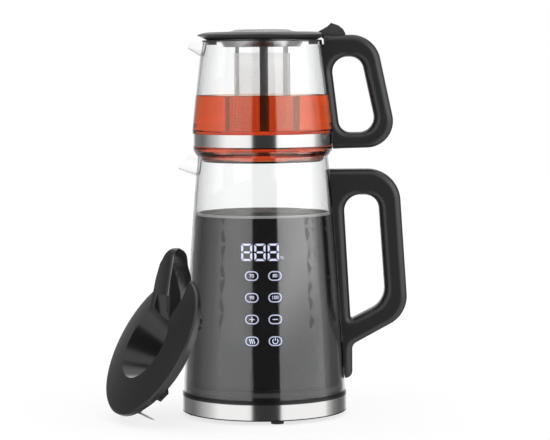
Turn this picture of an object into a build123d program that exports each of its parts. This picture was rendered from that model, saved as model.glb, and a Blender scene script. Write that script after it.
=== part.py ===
from build123d import *
import math
import os

# Automatic tea maker: a glass kettle on a round power base, with a glass teapot standing in its mouth.
# Millimetres.  The origin is on the common axis at the surface that the base stands on; +Z is up, the
# handles point along +X, the spouts along -X, and the touch panel looks along -Y.

# ------------------------------------------------------------------ clearances
fit = 0.1                    # between pieces that sit in each other
run_gap = 0.3                # between pieces that turn or lift past each other
rest_gap = 0.2               # under a unit that is lifted off

# ------------------------------------------------------------------ power base
base_r = 77.8
base_lip = 1.0               # thin rim under the steel band
base_band_h = 14.0
base_band_t = 0.8
base_top_t = 2.2
base_wall = 2.2
base_floor = 2.0
foot_h = 3.6
foot_r = 6.0
foot_count = 4
foot_circle = 66.0
foot_first_angle = -79.5
foot_sink = 1.2
grip_ring_r = 44.0           # rubber ring under the middle of the base
grip_ring_w = 6.0
hub_r = 17.8                 # round connector that the kettle turns about
hub_h = 11.4
hub_flange_r = 22.0
hub_flange_t = 2.0
hub_bore_r = 3.2
groove_r_in = 7.4
groove_r_out = 12.6
groove_floor = 1.6
contact_t = 0.8
contact_h = 8.0
centre_contact_h = 2.4
base_screw_circle = 56.0
base_screw_count = 4
base_screw_first_angle = 45.0
base_boss_r = 4.0
gland_r = 4.8
gland_bore_r = 3.6
gland_out = 2.6              # how far the gland stands out of the steel band
gland_in = 12.0
gland_lip = 1.2
wire_r = 1.1
wire_spread = 2.0

# ------------------------------------------------------------------ screws
screw_head_r = 2.8
screw_head_h = 1.6
screw_shank_r = 1.4
screw_length = 9.0

# ------------------------------------------------------------------ kettle glass
kettle_foot_r = 76.6         # outer radius at the foot, the middle and the mouth
kettle_middle_r = 70.0
kettle_mouth_r = 61.6
kettle_middle_h = 117.6
kettle_glass_h = 222.6
kettle_wall = 2.4
kettle_spout_reach = 79.5    # tip of the spout from the axis
kettle_spout_drop = 10.6     # tip below the rim
kettle_spout_half = 22.0     # how the pouring lip widens to each side and downwards
kettle_spout_lip = 42.0      # rise of its upper edge
spout_tip_r = 1.8
spout_length = 30.0          # length of the trough that the lip is cut from

# ------------------------------------------------------------------ kettle underside
cover_lip = 1.4
cover_lip_inset = 0.2
cover_plate_t = 3.0
cover_wall = 2.0
cover_wall_h = 9.6
seal_t = 0.55
seal_low = 2.6
seal_h = 4.0
coupler_wall = 3.9
coupler_h = 12.8
coupler_top_t = 3.0
coupler_flange_w = 3.4
coupler_flange_t = 1.8
pin_r = 2.4
blade_t = 1.6
post_r = 4.5
post_circle = 50.0
post_angles = (90.0, 210.0, 330.0)

# ------------------------------------------------------------------ sleeve, pot and heater
sleeve_gap = 0.05
sleeve_t = 0.6
sleeve_foot = 10.0           # sleeve above the foot of the glass
sleeve_top_z = 189.5
pot_floor_z = 46.0
pot_t = 0.9
pot_taper = 5.0              # radius lost from the foot of the pot to its neck
pot_corner = 3.0
pot_flange_below = 2.5       # flange under the top of the sleeve
gasket_lip = 2.0
gasket_w = 2.4
plate_r = 44.0
plate_t = 3.0
heater_circle = 32.0
heater_r = 3.5
heater_sweep = 300.0
terminal_r = 1.8
terminal_h = 3.0
cutout_r = 6.0
cutout_h = 4.0
cutout_circle = 16.0
probe_r = 2.5
probe_circle = 18.0
probe_up = 5.0
probe_flange_r = 4.5
probe_flange_t = 2.0

# ------------------------------------------------------------------ touch panel
panel_above = 16.4           # board above the middle of the display
panel_below = 21.2           # board below the lowest buttons
panel_w = 44.0
holder_t = 1.2
holder_rail_w = 4.0
holder_rail_back = 1.9
board_t = 1.6
display_drop = 29.9          # middle of the display below the top of the sleeve
display_w = 40.0
display_h = 19.0
display_t = 2.4
window_margin = 2.5
button_drop = 22.6           # first row of buttons below the middle of the display
button_pitch = 19.93
button_row_count = 4
button_column = 10.6
button_w = 12.3
button_h = 8.8
button_line = 1.0
button_inlay_t = 0.35        # depth of the ring marks in the sleeve
spring_r = 2.6
spring_wire = 0.8
power_board_w = 48.0
power_board_front = 64.0
power_board_depth = 27.0
power_board_lift = 5.4
relay_w = 14.0
relay_depth = 10.0
relay_h = 3.4
stud_r = 2.4
stud_inset = 3.5
ribbon_w = 12.0
ribbon_t = 0.6

# ------------------------------------------------------------------ kettle handle
handle_half = 12.5
handle_round = 7.0
handle_skin = 5.4            # thickness of the outer cover strip
handle_glue = 0.8            # bond gap between handle and glass
kettle_handle_top_z = 231.7
kettle_handle_reach = 136.6
kettle_handle_shoulder = 127.9
kettle_handle_low_z = 94.0
kettle_handle_root_x = 83.6
kettle_handle_root_z = 65.2
kettle_handle_foot_z = 33.0
kettle_handle_top_round = 31.0
kettle_handle_low_round = 30.0
kettle_crown = 24.2          # handle above its hole
kettle_grip = (27.9, 21.2)   # handle outside its hole, at the top and at the low end
kettle_hole_top_z = kettle_handle_top_z - kettle_crown
kettle_hole_top_x = (75.8, kettle_handle_reach - kettle_grip[0])
kettle_hole_low_x = (82.2, kettle_handle_reach - kettle_grip[1])
kettle_hole_low_z = (89.0, 106.1)
kettle_hole_rounds = (15.0, 14.0, 22.0, 2.0)
kettle_cover_start_x = 72.5
kettle_cover_end_z = 88.0
pad_half = 8.0
kettle_pad_z = ((44.0, 66.0), (196.0, 222.0))
grip_screw_z = (130.0, 178.0)
grip_screw_depth = 2.2

# ------------------------------------------------------------------ teapot
teapot_foot_r = 58.0         # step that stands in the mouth of the kettle
teapot_foot_h = 5.6
teapot_foot_chamfer = 2.0
teapot_shoulder_r = 62.4
teapot_low_r = 65.6
teapot_corner_h = 5.0
band_low = 9.2               # band groove above the shoulder
band_h = 11.8
band_recess = 1.2
band_t = 0.8
teapot_belly_r = 66.3
teapot_belly_low = 24.6
teapot_middle_r = 61.9
teapot_middle_h = 64.6
teapot_mouth_r = 56.5
teapot_h = 107.1             # rim above the shoulder
teapot_wall = 2.2
teapot_floor = 2.6
teapot_spout_reach = 69.5
teapot_spout_drop = 4.6
teapot_spout_half = 34.0
teapot_spout_lip = 35.0
teapot_handle_rise = 5.7     # top of the handle above the glass rim
teapot_handle_shoulder = 106.3
teapot_handle_reach = 128.6
teapot_handle_low_z = 252.4
teapot_handle_root_z = 250.2
teapot_handle_rounds = (28.0, 25.0)
teapot_crown = 20.6          # handle above its hole
teapot_grip = (35.5, 20.2)   # handle outside its hole, at the top and at the low end
teapot_hole_top_x = (64.3, teapot_handle_reach - teapot_grip[0])
teapot_hole_low_z = 266.4
teapot_hole_low_x = (72.8, teapot_handle_reach - teapot_grip[1])
teapot_hole_rounds = (14.0, 13.0, 14.0, 11.5)
teapot_skin = 3.0
teapot_cover_start_x = 84.0
teapot_pad_z = (274.0, 330.0)
cheek_round = 1.2
cheek_x = 58.3               # nearest the hinge cheeks come to the axis
teapot_glue = 0.4
tab_end_x = 72.6             # tab of the band that reaches into the handle
tab_screw_x = 69.4
tab_half = 5.0
tab_inset = 1.2
band_screw_r = 1.6
band_screw_head_r = 3.0
band_screw_head_h = 1.8
band_screw_sink = 0.6
band_screw_length = 12.0

# ------------------------------------------------------------------ teapot lid and infuser
holder_plate_t = 1.2
holder_bore_r = 41.5
lug_r_in = 48.0
lug_half = 3.5
lug_h = 3.2
lug_angles = (92.0, 206.0, 338.0)
flange_r = 43.4
flange_t = 0.9
bowl_r = 40.6
bowl_floor_r = 36.0
bowl_depth = 6.6
sheet_t = 0.7
basket_r = 26.6
basket_band_h = 5.6
basket_low_z = 266.0
basket_ring_h = 2.2
strap_w = 7.8                # straps that carry the basket from the bowl
strap_count = 3
strap_first_angle = -86.3
hinge_x = 61.1
hinge_up = 2.0               # hinge axis above the glass rim
hinge_pin_r = 1.5
barrel_r = 3.2
tongue_half = 6.0
lid_ring_r = 60.6
lid_ring_bore_r = 45.6
lid_ring_low = 1.5           # lowest edge above the glass rim
lid_ring_flat_r = 52.0       # flat part of the underside
lid_ring_rise = 4.1
lid_ring_edge = 0.9
lid_ring_top = 8.7
lid_ring_trim_x = 56.0
lever_bow = ((17.3, 5.0), (15.1, 9.0), (10.6, 12.6))
lever_tip = (3.8, 14.9)
slot_r = 18.4
slot_floor = 13.8            # slot floor below the hinge axis
cap_gap = 1.1                # radial, between the cap and the lid ring
cap_rim_w = 7.0
cap_rim_h = 6.0
cap_glass_r = 38.4
cap_glass_t = 1.6
cap_flat_r = 26.0
cap_rise = 2.6

# ------------------------------------------------------------------ kettle lid, taken off and leaning
lid_r = 70.7
lid_t = 5.0
lid_edge = 1.6
lid_crown = 6.9              # rise of the bowed top at its middle
lid_skin = 2.4
lid_cavity_r = (41.0, 62.0)
lid_boss_r = 3.6
lid_step_r = 65.5
lid_step_t = 4.0
lid_plug_r = 57.3
lid_plug_wall = 2.0
lid_plug_depth = 14.0
lid_seal_h = 2.6
lid_seal_out = 1.2
lid_lug_half = 6.0
lid_lug_r = 64.0
lid_lug_window = 2.6
lid_lug_angles = (-130.0, -56.0, 56.0, 130.0)
lid_lug_h = 5.0
recess_r = 37.0
recess_floor_r = 21.0
recess_depth = 26.0
recess_wall = 2.0
chute_top = (50.0, 5.0)      # where the floor of the chute meets the bowed top
chute_fall = 36.0
chute_r = 14.0
chute_length = 50.0
fin_root_x = 28.0
fin_crest = ((53.6, 15.2), (68.0, 20.4), (80.0, 22.4), (89.0, 20.8), (92.5, 16.8))
fin_under = ((92.0, 12.4), (80.7, 5.6), (74.5, 0.8))
fin_plan = ((28.0, 24.0), (47.0, 24.5), (58.0, 21.0), (69.0, 16.0), (80.0, 11.0), (88.0, 7.5))
fin_foot_half = 29.0
fin_crest_half = 12.5
fin_h = 24.0
scoop_foot = (30.0, 2.0)     # lowest line of the fin's hollow face
scoop_rise = 19.9
scoop_r = 30.0
filter_w = 36.0
filter_t = 0.5
filter_x = 60.6
filter_low = 37.2
filter_frame_t = 2.0
filter_frame_h = 5.0
filter_grip = 1.0            # solid top of the clip above the mesh
strainer_t = 0.6
lid_plate_t = 2.0
lid_plate_bore_r = 39.5
lid_screw_circle = 47.0
lid_screw_angles = (60.0, 180.0, 300.0)
lid_screw_length = 6.0
lid_tilt = 60.6              # angle of the lid's own axis from upright
lid_azimuth = 207.4
lid_centre = (-105.9, -45.5, 71.4)

# ------------------------------------------------------------------ levels worked out from the above
base_floor_z = foot_h + base_lip
base_plate_z = base_floor_z + base_band_h
base_top_z = base_plate_z + base_top_t
band_mid_z = base_floor_z + base_band_h / 2
base_skirt_r = base_r - base_band_t - 2 * fit
cover_z = base_top_z + rest_gap
glass_z = cover_z + cover_lip
mouth_z = glass_z + kettle_glass_h
plate_z = pot_floor_z - plate_t
pot_flange_z = sleeve_top_z - pot_flange_below
display_z = sleeve_top_z - display_drop
button_rows = [display_z - button_drop - button_pitch * row for row in range(button_row_count)]
panel_low_z = button_rows[-1] - panel_below
panel_high_z = display_z + panel_above
board_back = rest_gap + holder_t
board_front = board_back + board_t
shoulder_z = mouth_z + rest_gap
rim_z = shoulder_z + teapot_h
teapot_handle_top_z = rim_z + teapot_handle_rise
teapot_hole_top_z = teapot_handle_top_z - teapot_crown
holder_z = rim_z
flange_z = rim_z + holder_plate_t + fit
hinge_z = rim_z + hinge_up
cap_z = flange_z + flange_t + fit
cap_r = lid_ring_bore_r - cap_gap


# ------------------------------------------------------------------ shape helpers
def turned(*points):
    """Solid turned about the Z axis from a closed outline of (radius, height) points."""
    outline = Polyline(*[(r, 0, z) for r, z in points], close=True)
    return revolve(make_face(outline), Axis.Z)


def disc(radius, z_low, z_high, x=0.0, y=0.0):
    """Upright cylinder between two heights."""
    return Pos(x, y, (z_low + z_high) / 2) * Cylinder(radius, z_high - z_low)


def ring(r_out, r_in, z_low, z_high):
    """Flat ring between two heights."""
    return turned((r_in, z_low), (r_out, z_low), (r_out, z_high), (r_in, z_high))


def block(x_span, y_span, z_span):
    """Box between two values on each axis."""
    spans = (x_span, y_span, z_span)
    middle = [(low + high) / 2 for low, high in spans]
    return Pos(*middle) * Box(*[high - low for low, high in spans])


def polar(radius, degrees):
    """Point in plan at a radius and an angle."""
    return radius * math.cos(math.radians(degrees)), radius * math.sin(math.radians(degrees))


def spread(count, first_angle):
    """Evenly spaced angles."""
    return [first_angle + 360.0 * i / count for i in range(count)]


def slab(corners, half):
    """Plate of an outline in the XZ plane, as thick as twice half."""
    outline = Polyline(*[(x, 0, z) for x, z in corners], close=True)
    return extrude(make_face(outline), amount=half, dir=(0, 1, 0), both=True)


def joined(parts):
    """Separate solids kept in one group."""
    return Compound(children=[solid for part in parts for solid in part.solids()])


def screw(length, head_r=screw_head_r, head_h=screw_head_h, shank_r=screw_shank_r):
    """Screw whose head seats at zero and points up, with its shank along -Z."""
    return disc(head_r, 0, head_h) + disc(shank_r, -length, 0)


class ArcWall:
    """Wall of revolution whose outer profile is one circular arc through three points."""

    def __init__(self, low, middle, high):
        (r0, z0), (r1, z1), (r2, z2) = low, middle, high
        a, b = 2 * (r1 - r0), 2 * (z1 - z0)
        c, d = 2 * (r2 - r0), 2 * (z2 - z0)
        e = r1 * r1 - r0 * r0 + z1 * z1 - z0 * z0
        f = r2 * r2 - r0 * r0 + z2 * z2 - z0 * z0
        self.centre_r = (e * d - b * f) / (a * d - b * c)
        self.centre_z = (a * f - e * c) / (a * d - b * c)
        self.arc_r = math.hypot(r0 - self.centre_r, z0 - self.centre_z)

    def radius(self, z, inset=0.0):
        """Radius at a height, on the arc moved inwards by inset."""
        return self.centre_r + math.sqrt((self.arc_r - inset) ** 2 - (z - self.centre_z) ** 2)

    def edge(self, z_from, z_to, inset=0.0):
        """Arc between two heights."""
        points = [(self.radius(z, inset), 0, z) for z in (z_from, (z_from + z_to) / 2, z_to)]
        return ThreePointArc(*points)

    def shell(self, z_low, z_high, inset, thickness):
        """Shell between two heights."""
        outer, inner = self.edge(z_low, z_high, inset), self.edge(z_high, z_low, inset + thickness)
        sides = [Line(outer @ 1, inner @ 0), Line(inner @ 1, outer @ 0)]
        return revolve(make_face(Curve() + [outer, inner, *sides]), Axis.Z)

    def core(self, z_low, z_high, inset=0.0):
        """Everything inside the arc between two heights."""
        outer = self.edge(z_low, z_high, inset)
        sides = Polyline(outer @ 1, (0, 0, z_high), (0, 0, z_low), outer @ 0)
        return revolve(make_face(Curve() + [outer, *sides.edges()]), Axis.Z)


def trough(tip, tip_r, wide_r):
    """Half a cone that widens from the tip along +X, open upwards between upright sides."""
    length = spout_length
    cone = Pos(0, 0, length / 2) * Cone(tip_r, wide_r, length)
    below = block((0, length), (-wide_r, wide_r), (-wide_r, 0))
    plan = Polygon((0, -tip_r), (length, -wide_r), (length, wide_r), (0, tip_r), align=None)
    return Pos(*tip) * ((Rot(0, 90, 0) * cone & below) + extrude(plan, amount=length))


def pouring_lip(tip, half_angle, lip_slope, wall):
    """Pouring lip with its tip along -X, and the channel inside it.

    half_angle is how it widens each way and lip_slope how its upper edge rises, both in degrees.
    """
    half = math.radians(half_angle)
    wide_r = spout_tip_r + spout_length * math.tan(half)
    reach = 4 * spout_length
    edge = Pos(*tip) * Pos(0, 0, spout_tip_r) * Rot(0, -lip_slope, 0) * Pos(0, 0, -reach / 2)
    outer = trough(tip, spout_tip_r, wide_r) & (edge * Box(reach, reach, reach))
    return outer, trough(tip, spout_tip_r / 2, wide_r - wall / math.cos(half))


# ------------------------------------------------------------------ power base
def foot_points():
    """Centres of the feet."""
    return [polar(foot_circle, angle) for angle in spread(foot_count, foot_first_angle)]


def base_screw_points():
    """Centres of the screws that close the base."""
    return [polar(base_screw_circle, angle) for angle in spread(base_screw_count, base_screw_first_angle)]


def gland_hole(radius):
    """Way for the cord gland through the back wall."""
    length = base_r - hub_flange_r
    return Pos(0, base_r - length / 2 + base_band_t, band_mid_z) * Rot(90, 0, 0) * Cylinder(radius, length)


def make_base_bottom_cover():
    """Floor of the base, with a rim under the band and a ring that carries the connector."""
    body = disc(base_r, foot_h, base_floor_z)
    body += disc(base_skirt_r - base_wall - fit, base_floor_z, base_floor_z + base_floor)
    support_r = hub_flange_r - base_wall
    body += ring(support_r, support_r - base_wall, base_floor_z, base_plate_z - hub_flange_t)
    for x, y in foot_points():
        body -= disc(foot_r, foot_h, foot_h + foot_sink, x, y)
    body -= ring(grip_ring_r, grip_ring_r - grip_ring_w, foot_h, foot_h + foot_sink)
    for x, y in base_screw_points():
        body -= disc(screw_head_r + fit, foot_h, foot_h + screw_head_h, x, y)
        body -= disc(screw_shank_r + fit, foot_h, base_plate_z, x, y)
    return body - wire_pair(wire_r + fit)


def make_base_feet():
    """Round rubber feet set into the floor of the base."""
    return joined([disc(foot_r, 0, foot_h + foot_sink, x, y) for x, y in foot_points()])


def make_base_anti_slip_ring():
    """Rubber ring round the middle of the underside."""
    return ring(grip_ring_r, grip_ring_r - grip_ring_w, 0, foot_h + foot_sink)


def make_base_screws():
    """Screws that close the base from below."""
    turn = Pos(0, 0, foot_h + screw_head_h) * Rot(180, 0, 0)
    return joined([Pos(x, y, 0) * turn * screw(screw_length) for x, y in base_screw_points()])


def make_base_steel_band():
    """Steel band round the base."""
    outer = base_r - fit
    return ring(outer, outer - base_band_t, base_floor_z, base_plate_z) - gland_hole(gland_r + fit)


def make_base_housing():
    """Top plate and hidden skirt of the base, with screw bosses."""
    body = ring(base_r, hub_r + fit, base_plate_z, base_top_z)
    body += ring(base_skirt_r, base_skirt_r - base_wall, base_floor_z, base_plate_z)
    for x, y in base_screw_points():
        body += disc(base_boss_r, base_floor_z + base_floor, base_plate_z, x, y)
        body -= disc(screw_shank_r + fit, base_floor_z, base_plate_z, x, y)
    return body - gland_hole(gland_r + fit)


def make_base_socket():
    """Round connector that the kettle sits on and turns about."""
    body = disc(hub_flange_r, base_plate_z - hub_flange_t, base_plate_z)
    body += disc(hub_r, base_plate_z, base_plate_z + hub_h)
    top = base_plate_z + hub_h
    body -= ring(groove_r_out, groove_r_in, base_plate_z + groove_floor, top)
    return body - disc(hub_bore_r, base_plate_z, top)


def make_base_contacts():
    """Ring contacts in the groove and the centre contact of the connector."""
    low = base_plate_z + groove_floor
    return joined([ring(groove_r_in + contact_t, groove_r_in, low, low + contact_h),
                   ring(groove_r_out, groove_r_out - contact_t, low, low + contact_h),
                   disc(hub_bore_r, base_plate_z, base_plate_z + centre_contact_h)])


def wire_pair(radius):
    """Two straight leads from the gland to the connector."""
    ends = (hub_flange_r - base_wall - base_wall, base_r - gland_in)
    lead = Pos(0, sum(ends) / 2, band_mid_z) * Rot(90, 0, 0) * Cylinder(radius, ends[1] - ends[0])
    return Pos(-wire_spread, 0, 0) * lead + Pos(wire_spread, 0, 0) * lead


def make_base_wires():
    """Leads inside the base."""
    return joined([wire_pair(wire_r)])


def make_cord_gland():
    """Bush in the back of the base that a supply cord would pass through."""
    front, back = base_r - gland_in, base_r + gland_out
    axis = Pos(0, 0, band_mid_z) * Rot(-90, 0, 0)
    body = disc(gland_r, front, back) + disc(gland_r + gland_lip, base_r + fit, back)
    return axis * (body - disc(gland_bore_r, front, back))


# ------------------------------------------------------------------ connector under the kettle
def coupler_r():
    """Outer radius of the kettle's half of the connector."""
    return hub_r + run_gap + coupler_wall


def make_kettle_coupler():
    """Cup that fits over the base connector and carries the kettle."""
    top = cover_z + coupler_h
    body = disc(coupler_r(), cover_z, top)
    flange_low = cover_z + cover_plate_t + run_gap
    body += disc(coupler_r() + coupler_flange_w, flange_low, flange_low + coupler_flange_t)
    return body - disc(hub_r + run_gap, cover_z, top - coupler_top_t)


def make_coupler_contacts():
    """Centre pin and ring blade that dip into the base connector."""
    top = cover_z + coupler_h - coupler_top_t
    middle = (groove_r_in + groove_r_out) / 2
    low = base_plate_z + groove_floor + run_gap
    pin_low = base_plate_z + centre_contact_h + run_gap
    return joined([ring(middle + blade_t / 2, middle - blade_t / 2, low, top),
                   disc(pin_r, pin_low, top)])


# ------------------------------------------------------------------ kettle body
glass = ArcWall((kettle_foot_r, glass_z),
                (kettle_middle_r, glass_z + kettle_middle_h),
                (kettle_mouth_r, mouth_z))


def kettle_spout():
    """Lip of the kettle and the channel in it."""
    tip = (-kettle_spout_reach, 0, mouth_z - kettle_spout_drop)
    return pouring_lip(tip, kettle_spout_half, kettle_spout_lip, kettle_wall)


def make_kettle_glass():
    """Tapered glass jar, open at both ends, with a pouring lip."""
    lip, channel = kettle_spout()
    body = glass.shell(glass_z, mouth_z, 0, kettle_wall)
    lip -= glass.core(glass_z, mouth_z + spout_length, kettle_wall)
    below_rim = block((-2 * kettle_foot_r, 0), (-kettle_foot_r, kettle_foot_r), (glass_z, mouth_z))
    return body + (lip & below_rim) - channel


def post_points():
    """Centres of the posts that carry the pot."""
    return [polar(post_circle, angle) for angle in post_angles]


def stud_points():
    """Centres of the studs under the power board."""
    side = power_board_w / 2 - stud_inset
    front = -power_board_front + stud_inset
    back = -power_board_front + power_board_depth - stud_inset
    return [(x, y) for x in (-side, side) for y in (front, back)]


def cover_wall_r():
    """Outer radius of the upstand of the bottom cover."""
    return glass.radius(glass_z, kettle_wall) - seal_t - 2 * fit


def make_kettle_bottom_cover():
    """Floor of the kettle, with posts for the pot and studs for the power board."""
    plate_top = cover_z + cover_plate_t
    body = disc(glass.radius(glass_z) - cover_lip_inset, cover_z, glass_z)
    body += disc(cover_wall_r(), glass_z, plate_top)
    body += ring(cover_wall_r(), cover_wall_r() - cover_wall, glass_z, glass_z + cover_wall_h)
    body -= disc(coupler_r() + run_gap, cover_z, plate_top)
    for x, y in post_points():
        body += disc(post_r, cover_z + screw_head_h, pot_floor_z, x, y)
        body -= disc(screw_head_r + fit, cover_z, cover_z + screw_head_h, x, y)
        body -= disc(screw_shank_r + fit, cover_z, cover_z + screw_head_h + screw_length, x, y)
    for x, y in stud_points():
        body += disc(stud_r, plate_top, cover_z + cover_plate_t + power_board_lift, x, y)
    return body


def make_kettle_bottom_seal():
    """Silicone ring between the bottom cover and the glass."""
    low = glass_z + seal_low
    outer = glass.radius(low + seal_h, kettle_wall) - fit
    return ring(outer, cover_wall_r(), low, low + seal_h)


def make_kettle_bottom_screws():
    """Screws from below into the pot posts."""
    turn = Pos(0, 0, cover_z + screw_head_h) * Rot(180, 0, 0)
    return joined([Pos(x, y, 0) * turn * screw(screw_length) for x, y in post_points()])


def sleeve_shell():
    """Whole opaque sleeve, before its windows."""
    return glass.shell(glass_z + sleeve_foot, sleeve_top_z, kettle_wall + sleeve_gap, sleeve_t)


def front_prism(face_sketch, z):
    """Outline in the front view, pushed through the front wall at a height."""
    plane = Plane(origin=(0, -pot_neck_r, z), x_dir=(1, 0, 0), z_dir=(0, -1, 0))
    return extrude(plane * face_sketch, amount=kettle_foot_r)


def display_opening():
    """Prism of the display window."""
    return front_prism(RectangleRounded(display_w + window_margin, display_h + window_margin,
                                        window_margin), display_z)


def button_prisms():
    """Prisms of the stadium shaped rings round the touch buttons."""
    inner_w, inner_h = button_w - 2 * button_line, button_h - 2 * button_line
    outline = RectangleRounded(button_w, button_h, button_h / 2 - fit)
    outline -= RectangleRounded(inner_w, inner_h, inner_h / 2 - fit)
    places = [(x, z) for z in button_rows for x in (-button_column, button_column)]
    return [Pos(x, 0, 0) * front_prism(outline, z) for x, z in places]


def make_black_sleeve():
    """Opaque sleeve behind the glass, with the window cut out and the ring marks sunk in."""
    return sleeve_shell() - display_opening() - make_button_rings()


def make_display_window():
    """Smoked window in the sleeve."""
    return joined([sleeve_shell() & display_opening()])


def make_button_rings():
    """Light guides let into the face of the sleeve, one ring round each touch button."""
    skin = glass.shell(glass_z + sleeve_foot, sleeve_top_z, kettle_wall + sleeve_gap, button_inlay_t)
    return joined([skin & prism for prism in button_prisms()])


def pot_taper_at(z):
    """Radius that the pot has lost at a height."""
    low = pot_floor_z + pot_corner
    return pot_taper * (z - low) / (pot_flange_z - low)


# the display and the board behind it just fit between the sleeve and the front of the pot
window_r = glass.radius(display_z + display_h / 2, kettle_wall + sleeve_gap + sleeve_t)
window_back = math.sqrt(window_r ** 2 - (display_w / 2) ** 2)
pot_foot_r = window_back - run_gap - display_t - board_front + pot_taper_at(display_z)
pot_neck_r = pot_foot_r - pot_taper


def pot_radius(z):
    """Outer radius of the pot at a height."""
    return pot_foot_r - pot_taper_at(z)


def gasket_r():
    """Radius that clears the inside of the sleeve under its top."""
    return glass.radius(sleeve_top_z, kettle_wall + sleeve_gap + sleeve_t) - 2 * fit


def make_inner_pot():
    """Steel pot with a turned out rim."""
    z, t, c = pot_floor_z, pot_t, pot_corner
    body = turned((0, z), (pot_foot_r - c, z), (pot_foot_r, z + c), (pot_neck_r, pot_flange_z),
                  (gasket_r(), pot_flange_z), (gasket_r(), pot_flange_z + t),
                  (pot_neck_r - t, pot_flange_z + t), (pot_foot_r - t, z + c + t / 2),
                  (pot_foot_r - c - t / 2, z + t), (0, z + t))
    return body - disc(probe_r + fit, z, z + t, 0, probe_circle)


def make_pot_gasket():
    """Silicone gasket on the rim of the pot, lapping over the sleeve."""
    low, top = pot_flange_z + pot_t, sleeve_top_z + gasket_lip
    inner = gasket_r() - gasket_w
    outer = glass.radius(top, kettle_wall) - fit
    return turned((inner, low), (gasket_r(), low), (gasket_r(), sleeve_top_z),
                  (outer, sleeve_top_z), (outer, top), (inner, top))


def make_heating_plate():
    """Aluminium plate under the pot."""
    return disc(plate_r, plate_z, pot_floor_z) - disc(probe_r + fit, plate_z, pot_floor_z, 0, probe_circle)


def make_heater_tube():
    """Tubular heater under the plate, with its two cold ends turned down."""
    centre_z = plate_z - heater_r
    section = Pos(heater_circle, 0, centre_z) * Rot(90, 0, 0) * Circle(heater_r)
    start = -90 + (360 - heater_sweep) / 2
    body = Rot(0, 0, start) * revolve(section, Axis.Z, heater_sweep)
    for angle in (start, start + heater_sweep):
        x, y = polar(heater_circle, angle)
        body += disc(terminal_r, centre_z - heater_r - terminal_h, centre_z, x, y)
    return body


def make_thermal_cutouts():
    """Two round cut-outs against the heating plate."""
    return joined([disc(cutout_r, plate_z - cutout_h, plate_z, x, 0) for x in (-cutout_circle, cutout_circle)])


def make_temperature_probe():
    """Temperature probe through the plate and the floor of the pot."""
    body = disc(probe_r, plate_z, pot_floor_z + pot_t + probe_up, 0, probe_circle)
    return body + disc(probe_flange_r, plate_z - probe_flange_t, plate_z, 0, probe_circle)


# ------------------------------------------------------------------ touch electronics
def panel_plane():
    """Plane that lies on the front of the pot, seen from the front, with its origin at panel_low_z."""
    lean = math.atan2(pot_taper, pot_flange_z - pot_floor_z - pot_corner)
    return Plane(origin=(0, -pot_radius(panel_low_z), panel_low_z), x_dir=(1, 0, 0),
                 z_dir=(0, -math.cos(lean), math.sin(lean)))


panel_length = panel_high_z - panel_low_z


def make_board_holder():
    """Frame that carries the touch board on the front of the pot."""
    side = panel_w / 2
    plate = block((-side, side), (0, panel_length), (rest_gap, board_back))
    inner = side - holder_rail_w
    plate -= block((-inner, inner), (holder_rail_w, panel_length - holder_rail_w), (rest_gap, board_back))
    for x in (-side, inner):
        plate += block((x, x + holder_rail_w), (0, panel_length), (-holder_rail_back, board_back))
    return panel_plane() * plate


def make_touch_board():
    """Circuit board behind the touch panel."""
    side = panel_w / 2
    return panel_plane() * block((-side, side), (0, panel_length), (board_back, board_front))


def make_display_module():
    """Three digit display on the touch board."""
    middle = display_z - panel_low_z
    return panel_plane() * block((-display_w / 2, display_w / 2),
                                 (middle - display_h / 2, middle + display_h / 2),
                                 (board_front, board_front + display_t))


def make_touch_springs():
    """Coiled touch springs, as tubes from the board to the sleeve."""
    springs = []
    for z in button_rows:
        reach = glass.radius(z, kettle_wall + sleeve_gap + sleeve_t)
        inner_face = math.sqrt(reach ** 2 - (button_column + spring_r) ** 2) - run_gap
        height = inner_face - pot_radius(z)
        tube = disc(spring_r, board_front, height) - disc(spring_r - spring_wire, board_front, height)
        for x in (-button_column, button_column):
            springs.append(panel_plane() * Pos(x, z - panel_low_z, 0) * tube)
    return joined(springs)


def power_board_z():
    """Underside of the power board."""
    return cover_z + cover_plate_t + power_board_lift


def make_power_board():
    """Power board on its studs, with two relays."""
    side = power_board_w / 2
    front, back = -power_board_front, -power_board_front + power_board_depth
    top = power_board_z() + board_t
    body = block((-side, side), (front, back), (power_board_z(), top))
    for x in (-side + stud_inset, side - stud_inset - relay_w):
        body += block((x, x + relay_w), (back - relay_depth, back), (top, top + relay_h))
    return body


def make_signal_ribbon():
    """Flat lead from the power board up to the touch board."""
    middle = -pot_radius(panel_low_z) - (board_back + board_front) / 2
    low, high = power_board_z() + board_t, panel_low_z - fit
    return block((-ribbon_w / 2, ribbon_w / 2), (middle - ribbon_t / 2, middle + ribbon_t / 2), (low, high))


# ------------------------------------------------------------------ handles
def flat_face(corners, rounds):
    """Face in the XZ plane with rounded corners."""
    points = [(x, 0, z) for x, z in corners]
    return make_face(FilletPolyline(*points, radius=list(rounds), close=True))


def thick(face, half):
    """Plate of a face in the XZ plane, twice half thick."""
    return extrude(face, amount=half, dir=(0, 1, 0), both=True)


def soft_edges(body, radius):
    """Round the long edges on both sides of a handle."""
    sides = body.edges().group_by(Axis.Y)
    return fillet(sides[0] + sides[-1], radius)


def outer_strip(face, skin, start_x, end_z):
    """Region of a handle's outer cover strip: the skin of its outline, right of start_x, above end_z."""
    region = thick(face, 2 * handle_half) - thick(offset(face, amount=-skin), 3 * handle_half)
    reach = 2 * kettle_handle_reach
    return region & block((start_x, reach), (-reach, reach), (end_z, 2 * rim_z))


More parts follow.
